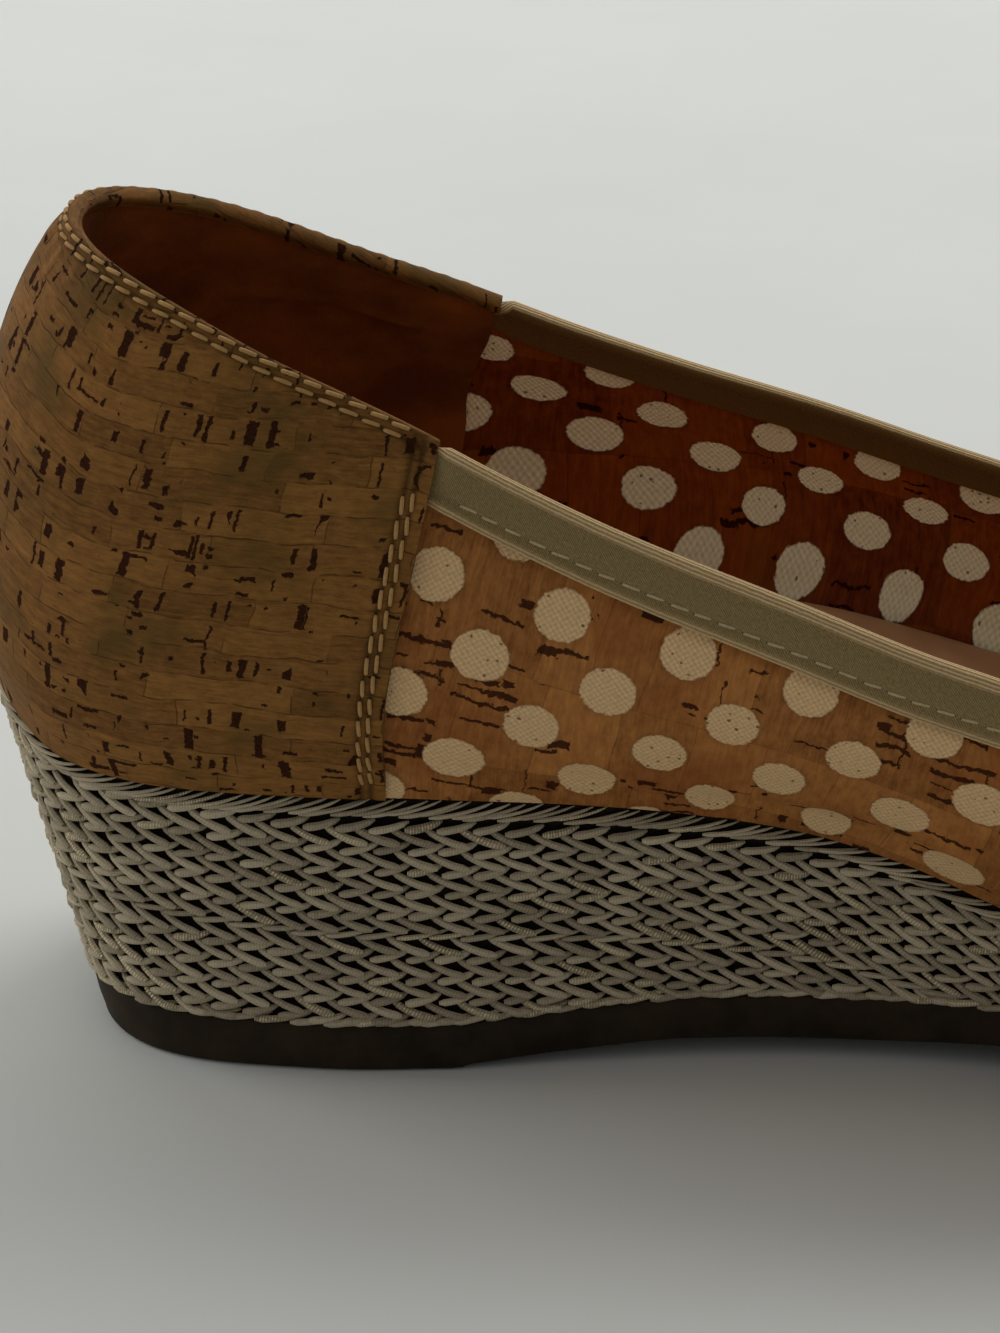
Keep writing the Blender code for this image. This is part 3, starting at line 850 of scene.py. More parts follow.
@dataclass(frozen=True)
class DottedCork:
    """Cork veneer with round linen dots in a diagonal lattice, for the quarters, vamp and their lining.

    Spacing is the lattice's step along and twice its step across, lean the skew of each, start the middle of
    one dot, and cell the same steps on the unskewed cloth, from which the dots' size is measured.
    """
    name: str
    light: Colour
    dark: Colour
    russet: Colour
    crack: Colour
    linen: Colour
    rough: float
    spacing: Pair = (15.15, 15.55)
    lean: Pair = (-0.04, 0.02)
    start: Pair = (59.2, -40.3)
    cell: Pair = (15.15, 15.55)
    radius: float = 3.3
    thread: float = 0.8
    splits: float = 1.0
    specular: float = 0.06

    def dots(self, s: Sketch, flat: Socket) -> Socket:
        """Give the distance to the middle of the nearest dot.

        Args:
            s: The material that is drawn.
            flat: Flat coordinates.

        Returns:
            The distance in millimetres.
        """
        along, across = (s.sums("SUBTRACT", *pair) for pair in zip(s.split(flat), self.start))
        u = s.sums("DIVIDE", s.blend(across, self.lean[0], along), self.spacing[0])
        v = s.sums("DIVIDE", s.blend(along, self.lean[1], across), self.spacing[1])
        shares = []
        for way in ("ADD", "SUBTRACT"):
            step = s.sums(way, u, v)
            shares.append(s.sums("SUBTRACT", step, s.sums("ROUND", step)))
        x = s.times(s.sums("ADD", *shares), 0.5 * self.cell[0])
        y = s.times(s.sums("SUBTRACT", *shares), 0.5 * self.cell[1])
        return s.sums("SQRT", s.blend(x, x, s.times(y, y)))

    def cloth(self, s: Sketch,
              flat: Socket) -> tuple[Socket, Socket]:
        """Draw the linen of the dots.

        Args:
            s: The material that is drawn.
            flat: Flat coordinates.

        Returns:
            Its colour and its weave's height.
        """
        warp, weft = (s.sums("SINE", s.times(way, math.tau / self.thread))
                      for way in s.split(s.shifted(flat, 0.8, 0.14)))
        weave = s.blend(s.times(warp, weft), 0.5, 0.5)
        slub = s.noise(s.stretched(flat, 1.9, 1.9, 1.0), 1.0, 3.0, 0.7)
        pins = s.strokes(s.shifted(flat, 2.0, 0.2), 1.2, 1.2, 0.16, 0.08, 0.14)
        share = s.blend(weave, 0.5, s.blend(slub, 1.1, -0.12))
        colour = s.mix(share, dimmed(self.linen, 0.5), self.linen)
        return s.mix(s.times(pins, 0.7), colour, self.crack), weave

    def cracks(self, s: Sketch, flat: Socket) -> Socket:
        """Scatter the splits: jagged bars and blocks along the veneer's joins, most where it is marked split.

        Args:
            s: The material that is drawn.
            flat: Flat coordinates.

        Returns:
            1 inside the splits and 0 outside.
        """
        marked = s.mark("split")
        bunch = s.most(s.step(s.noise(flat, 0.1, 2.0), 0.46, 0.66), marked)
        jagged = s.shifted(s.shifted(s.shifted(flat, 0.35, 0.9), 1.5, 0.5), 5.0, 0.2)
        share = self.splits
        layers = (
            s.bars(jagged, (8.0, 2.0), s.blend(bunch, 0.42 * share, 0.03), (1.2, 3.8), (0.1, 0.36), 5.0),
            s.bars(jagged, (3.6, 2.6), s.blend(bunch, 0.26 * share, 0.015), (0.4, 1.6), (0.25, 0.85), 17.0),
            s.bars(jagged, (1.6, 7.0), s.blend(bunch, 0.10 * share, 0.03), (0.08, 0.18), (1.0, 3.2), 29.0),
        )
        return reduce(s.most, layers)

    def make(self) -> Material:
        """Draw the material on the flat pattern.

        Returns:
            The finished material.
        """
        s = Sketch(self.name)
        flat = s.flat()
        place = s.shifted(flat, 0.12, 0.6)
        leaning = s.node("VectorRotate", {"Vector": place, "Angle": 0.06}, rotation_type="Z_AXIS")
        plank, seam = s.planks(leaning, 9.0, 15.0)
        grain = s.noise(s.stretched(place, 2.6, 0.12, 1.0), 1.0, 6.0, 0.68)
        mottle = s.noise(s.stretched(flat, 0.8, 0.4, 1.0), 1.0, 4.0, 0.7)
        cloud = s.noise(flat, 0.06, 2.0, 0.5)
        shade = s.blend(plank, 0.44, s.blend(grain, 0.8, s.blend(mottle, 1.1, -0.67)))
        tone = s.mix(shade, self.dark, self.light)
        tone = s.mix(s.times(s.step(cloud, 0.50, 0.66), s.blend(plank, 0.5, 0.1)), tone, self.russet)
        tone = s.mix(s.times(seam, 0.3), tone, self.crack)
        cracks = self.cracks(s, flat)
        tone = s.mix(s.times(cracks, 0.92), tone, self.crack)
        ragged = s.blend(s.noise(flat, 1.1, 4.0, 0.65), 1.0, self.dots(s, flat))
        dot = s.rest(s.step(ragged, self.radius + 0.32, self.radius + 0.62))
        halo = s.times(s.rest(s.step(ragged, self.radius + 0.5, self.radius + 1.2)), 0.16)
        tone = s.mix(halo, tone, self.crack)
        cloth, weave = self.cloth(s, flat)
        colour = s.mix(dot, tone, cloth)
        height = s.choose(dot, s.sums("SUBTRACT", s.blend(grain, 0.5, 1.0), cracks), s.times(weave, 0.7))
        rough = s.choose(dot, s.most(s.blend(grain, 0.2, self.rough), cracks), 0.92)
        return s.done(Base_Color=colour, Roughness=rough, Normal=s.relief(height, 0.13),
                      Specular_IOR_Level=self.specular)


@dataclass(frozen=True)
class WovenTape:
    """Twilled tape of the topline binding, with pale lengthwise threads at its fold and selvedge."""
    fold: float
    name: str = "woven_tape"
    olive: Colour = srgb(184, 157, 106)
    pale: Colour = srgb(246, 208, 156)
    inner: Colour = srgb(124, 84, 34)
    twill: float = 0.38
    line: float = 0.46
    roll: float = 2.2
    selvedge: float = 1.1

    def make(self) -> Material:
        """Draw the material along and across the tape.

        Returns:
            The finished material.
        """
        s = Sketch(self.name)
        flat = s.flat()
        along, across = s.split(s.shifted(flat, 0.9, 0.08))
        twill = s.wave(s.sums("ADD", along, across), self.twill)
        lines = s.wave(across, self.line)
        fuzz = s.noise(s.stretched(flat, 2.6, 2.6, 1.0), 1.0, 4.0, 0.7)
        woven = s.blend(twill, 0.4, s.blend(fuzz, 1.3, -0.35))
        body = s.mix(woven, dimmed(self.olive, 0.3), self.olive)
        corded = s.mix(s.blend(lines, 0.7, s.blend(fuzz, 0.7, -0.2)), dimmed(self.olive, 0.5), self.pale)
        hem = s.rest(s.step(across, self.selvedge - 0.5, self.selvedge))
        before_fold = s.step(across, self.fold - 1.0, self.fold - 0.8)
        after_fold = s.step(across, self.fold + self.roll - 0.3, self.fold + self.roll + 0.3)
        rolled = s.times(before_fold, s.rest(after_fold))
        tone = s.mix(s.times(hem, 0.6), body, corded)
        tone = s.mix(s.times(rolled, 0.95), tone, corded)
        # the inside past the fold is drawn in a darker brown than the outside
        lining = s.mix(s.blend(fuzz, 0.7, s.times(twill, 0.3)), dimmed(self.inner, 0.5), self.inner)
        tone = s.mix(after_fold, tone, lining)
        height = s.blend(s.choose(s.most(hem, rolled), twill, lines), 1.0, s.times(fuzz, 0.8))
        return s.done(Base_Color=tone, Roughness=0.9, Normal=s.relief(height, 0.09), Sheen_Weight=0.08,
                      Specular_IOR_Level=0.08)


@dataclass(frozen=True)
class Hide:
    """Leather, smooth or with a nap."""
    name: str
    light: Colour
    dark: Colour
    rough: float
    relief: float
    sheen: float
    streak: float = 1.0
    specular: float = 0.3

    def make(self) -> Material:
        """Draw the material through the shoe's own space.

        Returns:
            The finished material.
        """
        s = Sketch(self.name)
        place = s.solid()
        cloud = s.noise(s.stretched(place, 1.0, self.streak, self.streak), 55.0, 4.0, 0.6)
        pores = s.node("TexVoronoi", {"Vector": place, "Scale": 1500.0})
        nap = s.noise(place, 2600.0, 2.0, 0.7)
        tone = s.mix(s.blend(nap, 0.25, s.step(cloud, 0.3, 0.75)), self.dark, self.light)
        height = s.blend(nap, 0.5, s.times(pores, 0.6))
        return s.done(Base_Color=tone, Roughness=s.blend(cloud, 0.16, self.rough), Sheen_Weight=self.sheen,
                      Normal=s.relief(height, self.relief), Specular_IOR_Level=self.specular)


@dataclass(frozen=True)
class TwistedCord:
    """Plied cord of the braid, some strands with a metal glint."""
    name: str = "twisted_cord"
    light: Colour = srgb(212, 197, 168)
    dark: Colour = srgb(108, 97, 78)
    glint: Colour = srgb(226, 208, 166)
    ply: float = 0.36

    def make(self) -> Material:
        """Draw the material along each cord.

        Returns:
            The finished material.
        """
        s = Sketch(self.name)
        along, round_it = s.split(s.flat())
        tone = s.mark("tone")
        bright = s.mark("glint")
        ply = s.wave(s.sums("ADD", s.sums("DIVIDE", along, self.ply), round_it), 1.0)
        fuzz = s.noise(s.solid(), 2400.0, 3.0, 0.65)
        shade = s.blend(fuzz, 0.6, s.blend(ply, 0.2, s.blend(tone, 0.45, -0.08)))
        colour = s.mix(shade, self.dark, self.light)
        flash = s.times(s.times(bright, s.step(ply, 0.45, 0.85)), s.step(fuzz, 0.4, 0.55))
        colour = s.mix(flash, colour, self.glint)
        height = s.blend(s.times(ply, s.blend(bright, 1.0, 0.2)), 1.0, s.times(fuzz, 0.7))
        return s.done(Base_Color=colour, Roughness=s.blend(flash, -0.45, 0.8), Metallic=s.times(flash, 0.5),
                      Normal=s.relief(height, 0.06), Sheen_Weight=0.08, Specular_IOR_Level=0.1)


@dataclass(frozen=True)
class Thread:
    """Sewing thread, with painted shade where it dives into its needle holes."""
    name: str
    light: Colour
    dark: Colour
    hole_shade: Colour = srgb(34, 18, 8)

    def make(self) -> Material:
        """Draw the material, with painted shade at its needle holes, at both ends of each stitch.

        Returns:
            The finished material.
        """
        s = Sketch(self.name)
        fuzz = s.noise(s.solid(), 2200.0, 3.0, 0.65)
        hole_shade = s.mark("hole_shade")
        # painted shade: the thread turns dark towards its needle holes
        tone = s.mix(s.step(hole_shade, 0.3, 0.7), s.mix(fuzz, self.dark, self.light), self.hole_shade)
        return s.done(Base_Color=tone, Roughness=0.7, Normal=s.relief(fuzz, 0.04), Specular_IOR_Level=0.15)


@dataclass(frozen=True)
class Matter:
    """A worked surface with cloudy colour and a fine relief: rubber, foam, backing or floor."""
    name: str
    light: Colour
    dark: Colour
    rough: float
    scale: float
    relief: float
    specular: float = 0.35

    def make(self) -> Material:
        """Draw the material through the shoe's own space.

        Returns:
            The finished material.
        """
        s = Sketch(self.name)
        place = s.solid()
        cloud = s.noise(place, self.scale, 4.0, 0.6)
        fine = s.noise(place, 14.0 * self.scale, 3.0, 0.6)
        tone = s.mix(s.blend(fine, 0.3, s.step(cloud, 0.25, 0.8)), self.dark, self.light)
        return s.done(Base_Color=tone, Roughness=s.blend(fine, 0.2, self.rough),
                      Specular_IOR_Level=self.specular,
                      Normal=s.relief(s.blend(cloud, 0.4, fine), self.relief))


@dataclass
class Workshop:
    """Makes pieces from arrays in the shoe's millimetres and hangs them on the frame."""
    last: Last
    origin: Vector

    def piece(self, name: str, points: Array, faces: Iterable[Sequence[int]],
              material: Material, slot: Slot, stands_for: Sequence[str] = (),
              flat: Optional[Array] = None,
              marks: Optional[Mapping[str, Array]] = None) -> bpy.types.Object:
        """Make a piece, with its faces turned out, and hang it on the shoe's body.

        Args:
            name: The piece's name.
            points: Points in millimetres.
            faces: Corners of each face.
            material: Its finish.
            slot: The record's slot; not used.
            stands_for: Nodes that it replaces.
            flat: Flat coordinates of each point.
            marks: Values of each point, by name.

        Returns:
            The piece.
        """
        mesh = bpy.data.meshes.new(name)
        mesh.from_pydata((points * MM + np.array(self.origin)).tolist(), [], list(faces))
        work = bmesh.new()
        work.from_mesh(mesh)
        bmesh.ops.recalc_face_normals(work, faces=work.faces)
        work.to_mesh(mesh)
        work.free()
        mesh.polygons.foreach_set("use_smooth", [True] * len(mesh.polygons))
        mesh.set_sharp_from_angle(angle=math.radians(SHARP_DEGREES))
        if flat is not None:
            corner = np.zeros(len(mesh.loops), dtype=np.int32)
            mesh.loops.foreach_get("vertex_index", corner)
            layer = mesh.uv_layers.new(name="pattern")
            layer.data.foreach_set("uv", flat[corner].astype(np.float32).ravel())
        for key, values in (marks or {}).items():
            mark = mesh.attributes.new(key, "FLOAT", "POINT")
            mark.data.foreach_set("value", values.astype(np.float32))
        mesh.materials.append(material)
        item = bpy.data.objects.new(name, mesh)
        bpy.context.scene.collection.objects.link(item)
        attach(item, BODY)
        if stands_for:
            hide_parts(*stands_for)
        LOG.info("%s: %d faces", name, len(mesh.polygons))
        return item

    @staticmethod
    def sheet_faces(rows: int, columns: int, closed: bool) -> Faces:
        """Give the faces of a wall between two grids of points, with its rims.

        Args:
            rows: Rows of each grid.
            columns: Columns of each grid.
            closed: Whether the last row meets the first.

        Returns:
            Corners of each face.
        """
        faces: Faces = []
        inside = rows * columns
        last = columns - 1
        for row in range(rows if closed else rows - 1):
            here, after = row * columns, (row + 1) % rows * columns
            for column in range(last):
                a, b = here + column, after + column
                faces.append((a, b, b + 1, a + 1))
                faces.append((inside + a, inside + a + 1, inside + b + 1, inside + b))
            for column in (0, last):
                a, b = here + column, after + column
                faces.append((a, b, inside + b, inside + a))
        if not closed:
            for row in (0, rows - 1):
                for a in range(row * columns, row * columns + last):
                    faces.append((a, a + 1, inside + a + 1, inside + a))
        return faces

    def sheet(self, name: str, outer: Array, inner: Array, closed: bool,
              material: Material, slot: Slot, stands_for: Sequence[str] = (),
              flat: Optional[Array] = None,
              marks: Optional[Mapping[str, Array]] = None) -> bpy.types.Object:
        """Make a wall between two grids of points.

        Args:
            name: The piece's name.
            outer: Grid of its outer face.
            inner: Grid of its inner face.
            closed: Whether the wall goes all the way round.
            material: Its finish.
            slot: The record's slot.
            stands_for: Nodes that it replaces.
            flat: Flat coordinates of the grid.
            marks: Values over the grid, by name.

        Returns:
            The piece.
        """
        points = np.concatenate([outer.reshape(-1, 3), inner.reshape(-1, 3)])
        faces = self.sheet_faces(*outer.shape[:2], closed)
        laid = None if flat is None else np.concatenate([flat.reshape(-1, 2)] * 2)
        both = {key: np.tile(values.ravel(), 2) for key, values in (marks or {}).items()}
        return self.piece(name, points, faces, material, slot, stands_for, laid, both)

    def slab(self, name: str, loops: Sequence[Array], across: int, material: Material,
             slot: Slot, stands_for: Sequence[str] = (), dish: float = 0.0) -> bpy.types.Object:
        """Make a solid from loops round the shoe, one over the other, its bottom and top closed by strips.

        Args:
            name: The piece's name.
            loops: Loops of points.
            across: Steps across the bottom and the top.
            material: Its finish.
            slot: The record's slot.
            stands_for: Nodes that it replaces.
            dish: Depth by which the top's middle sinks.

        Returns:
            The piece.
        """
        count = len(loops[0])
        points = [np.concatenate(loops)]
        faces: Faces = []
        for level in range(len(loops) - 1):
            for place in range(count):
                a, b = level * count + place, level * count + (place + 1) % count
                faces.append((a, b, b + count, a + count))
        used = len(loops) * count
        share = np.arange(1, across) / across
        for start, sink in ((0, 0.0), ((len(loops) - 1) * count, dish)):
            loop = loops[start // count]
            rungs = [[start] * (across + 1)]
            for left in range(1, count // 2):
                right = count - left
                rung = loop[left] + share[:, None] * (loop[right] - loop[left])
                rung[:, 2] -= sink * (1.0 - (2.0 * share - 1.0) ** 4)
                points.append(rung)
                rungs.append([start + left, *range(used, used + across - 1), start + right])
                used += across - 1
            rungs.append([start + count // 2] * (across + 1))
            for one, two in zip(rungs, rungs[1:]):
                for k in range(across):
                    faces.append(tuple(dict.fromkeys((one[k], two[k], two[k + 1], one[k + 1]))))
        return self.piece(name, np.concatenate(points), faces, material, slot, stands_for)


def tube_faces(first: int, rings: int, sides: int) -> Faces:
    """Give the faces of a tube whose rings are followed by its two end points.

    Args:
        first: Number of its first point.
        rings: Rings of points.
        sides: Points of each ring.

    Returns:
        Corners of each face.
    """
    faces: Faces = []
    for ring in range(rings - 1):
        for side in range(sides):
            a, b = first + ring * sides + side, first + ring * sides + (side + 1) % sides
            faces.append((a, b, b + sides, a + sides))
    ends = first + rings * sides
    for side in range(sides):
        after = (side + 1) % sides
        faces.append((ends, first + after, first + side))
        faces.append((ends + 1, ends - sides + side, ends - sides + after))
    return faces


def tubes(spine: Array, out: Array, radius: Array, sides: int) -> tuple[Array, Faces]:
    """Make many short tubes of the same number of rings.

    Args:
        spine: Points along the middle of each tube.
        out: Outward vectors at those points.
        radius: Radius at those points.
        sides: Points of each ring.

    Returns:
        Points of all the tubes, one tube after the other, and the corners of each face.
    """
    count, rings = spine.shape[:2]
    along = unit(np.gradient(spine, axis=1))
    aside = unit(np.cross(out, along))
    rise = np.cross(along, aside)
    angle = np.linspace(0.0, math.tau, sides, endpoint=False)[:, None]
    ring = np.cos(angle) * aside[:, :, None] + np.sin(angle) * rise[:, :, None]
    walls = spine[:, :, None] + ring * radius[:, :, None, None]
    points = np.concatenate([walls.reshape(count, -1, 3), spine[:, [0, -1]]], axis=1)
    faces: Faces = []
    for place in range(count):
        faces += tube_faces(place * (rings * sides + 2), rings, sides)
    return points.reshape(-1, 3), faces


def row_line(grid: Array, lean: Array, away: float) -> tuple[Array, Array]:
    """Give a line over a grid of points, at one distance from its first column.

    Args:
        grid: The points.
        lean: The surface's normals there.
        away: Distance from the first column, measured along each row.

    Returns:
        Points of the line, and the normals along it.
    """
    both = np.concatenate([grid, lean], axis=2)
    found = []
    for row in both:
        length = path_length(row[:, :3])
        found.append(read_along(away, length, row))
    line = np.array(found)
    return line[:, :3], unit(line[:, 3:])


@dataclass
class Stitching:
    """Stitches that lie in rows on lines of points.

    Wander, uneven and skew are the small differences in their place, length and slant.
    """
    shop: Workshop
    pitch: float = 3.0
    length: float = 2.3
    radius: float = 0.2
    rise: float = 0.16
    slant: float = 0.3
    sunk: float = 0.1
    end_share: float = 0.3
    wander: float = 0.1
    uneven: Pair = (-0.2, 0.1)
    skew: float = 0.08
    rings: int = 7
    sides: int = 7
    seed: int = 5

    def sew(self, name: str, lines: Sequence[tuple[Array, Array]], thread: Thread,
            slot: Slot) -> None:
        """Sew along lines.

        Args:
            name: The piece's name.
            lines: Points of each line and the surface's normals along it.
            thread: The stitches' finish.
            slot: The record's slot.
        """
        rng = np.random.default_rng(self.seed)
        share = np.linspace(0.0, 1.0, self.rings)
        bulk = np.sqrt(np.clip(1.0 - (2.0 * share - 1.0) ** 4, 0.0, 1.0))
        swell = self.end_share + (1.0 - self.end_share) * bulk
        spines, outs = [], []
        for line, normal in lines:
            length = path_length(line)
            count = int((length[-1] - self.length) / self.pitch)
            start = 0.5 * (length[-1] - (count - 1) * self.pitch - self.length)
            for place in range(count):
                begin = start + place * self.pitch + rng.uniform(-self.wander, self.wander)
                at = begin + share * (self.length + rng.uniform(*self.uneven))
                spine = read_along(at, length, line)
                up = unit(read_along(at, length, normal))
                aside = np.cross(up, unit(np.gradient(spine, axis=0)))
                lean = (self.slant + rng.uniform(-self.skew, self.skew)) * (share - 0.5)
                lift = self.rise * np.sin(np.pi * share) - self.sunk
                spines.append(spine + aside * lean[:, None] + up * lift[:, None])
                outs.append(up)
        radius = np.broadcast_to(self.radius * swell, (len(spines), self.rings))
        points, faces = tubes(np.array(spines), np.array(outs), radius, self.sides)
        # Darkest at both ends of each stitch: painted shade where the thread dives into its needle holes.
        hole_shade = np.append(np.repeat((2.0 * share - 1.0) ** 4, self.sides), [1.0, 1.0])
        marks = {"hole_shade": np.tile(hole_shade, len(spines))}
        self.shop.piece(name, points, faces, thread.make(), slot, marks=marks)


@dataclass
class Upper:
    """Quarters and vamp in one wall, with the lining of heel and front.

    The veneer is split most at split_turns, fading up the wall, and along its foot. Seam is the place, half
    width and depth of a groove, and overlap the turns of front lining under the heel's.
    """
    shop: Workshop
    skin: float = 1.0
    lining: float = 0.7
    suede: float = 0.5
    slack: float = 0.05
    lining_top: float = 0.992
    split_turns: tuple[float, ...] = (-0.262, 0.255, -0.44, 0.41, -0.62, 0.66)
    split_reach: float = 0.028
    split_fade: Pair = (0.9, 0.5)
    split_foot: Pair = (0.6, 0.14)
    overlap: float = 0.012
    seam: Triple = (6.75, 0.75, 0.45)
    steps: int = 190
    levels: int = 64
    creases: tuple[Crease, ...] = (
        Crease(-0.30, 0.13, 0.05, 0.05, 0.35, 0.02), Crease(-0.41, 0.10, 0.06, 0.05, 0.5, -0.03),
        Crease(-0.49, 0.26, 0.05, 0.06, 0.35, 0.05), Crease(0.36, 0.15, 0.06, 0.05, 0.4, 0.02),
        Crease(0.46, 0.22, 0.05, 0.05, 0.4, -0.03), Crease(-0.72, 0.34, 0.05, 0.05, 0.5, 0.10),
        Crease(0.71, 0.36, 0.05, 0.05, 0.5, 0.10), Crease(-0.80, 0.55, 0.06, 0.05, 0.4, 0.12),
        Crease(0.80, 0.56, 0.06, 0.05, 0.4, 0.12),
    )
    heel_creases: tuple[Crease, ...] = (
        Crease(0.122, 0.806, 0.024, 0.012, 0.45, 0.034), Crease(0.174, 0.853, 0.024, 0.012, 0.5, 0.006),
        Crease(-0.13, 0.80, 0.03, 0.014, 0.2, -0.02),
    )

    def build(self) -> None:
        """Make the wall and its linings."""
        self.cover()
        self.line_front()
        self.line_heel()

    def cover(self) -> None:
        """Make the cork wall."""
        last = self.shop.last
        turn = loop_turns(self.steps)
        level = np.linspace(0.0, 1.0, self.levels + 1)
        depth = last.depth(turn, level)
        place, breadth, sunk = self.seam
        outer = last.face(turn, level, -sunk * bell(depth, place, breadth), self.creases)
        inner = last.face(turn, level, -self.skin * last.skive(depth), self.creases)
        cork = DottedCork("dotted_cork", light=srgb(200, 134, 72), dark=srgb(112, 66, 30),
                          russet=srgb(132, 60, 22), crack=srgb(54, 24, 15), linen=srgb(240, 200, 148),
                          rough=0.5)
        strength, reach = self.split_foot
        split = strength * bell(level, 0.0, reach)[None, :] * np.ones((len(turn), 1))
        for middle in self.split_turns:
            split += bell(turn, middle, self.split_reach)[:, None] * eased(level, *self.split_fade)[None, :]
        self.shop.sheet("upper_cork", outer, inner, True, cork.make(), Slot.UPPER, ["upper"],
                        last.pattern(turn, level), {"split": np.minimum(split, 1.0)})

    def line_front(self) -> None:
        """Make the dotted lining of the front."""
        last = self.shop.last
        start = LINING_EDGE.end("turn") - self.overlap
        turn = wrapped(-np.linspace(start, 2.0 - start, 2 * self.steps))
        level = np.linspace(0.0, self.lining_top, self.levels + 1)
        near = self.skin + self.slack
        thin = last.skive(last.depth(turn, level))
        outer, inner = (last.face(turn, level, -stand * thin, self.creases)
                        for stand in (near, near + self.lining))
        # painted light: the lining's linen is paler than the outer linen, standing in for window light that
        # shines through the dots
        cloth = DottedCork("dotted_lining", light=srgb(156, 74, 14), dark=srgb(74, 20, 2),
                           russet=srgb(128, 70, 12), crack=srgb(36, 8, 2), linen=srgb(255, 240, 200),
                           rough=0.36, spacing=(15.66, 11.53), lean=(0.173, -0.031), start=(48.4, 61.5),
                           thread=0.9, splits=0.5)
        self.shop.sheet("front_lining", inner, outer, False, cloth.make(), Slot.UPPER, (),
                        last.pattern(turn, level, LINING_CLOTH))

    def line_heel(self) -> None:
        """Make the suede lining of the heel, its front edges over the front lining."""
        last = self.shop.last
        share = np.linspace(-1.0, 1.0, self.steps)
        level = np.linspace(0.0, self.lining_top, self.levels + 1)
        turns = share[:, None] * LINING_EDGE.at("turn", level)[None, :]
        near = self.skin + self.lining + 2.0 * self.slack
        thin = last.skive(last.depth(turns[:, -1], level))
        outer, inner = (last.patch(turns, level, -stand * thin, self.heel_creases)
                        for stand in (near, near + self.suede))
        nap = Hide("heel_suede", srgb(132, 70, 18), srgb(80, 38, 6), rough=0.85, relief=0.10, sheen=0.05,
                   streak=1.6, specular=0.1)
        self.shop.sheet("heel_lining", inner, outer, False, nap.make(), Slot.SOCK)


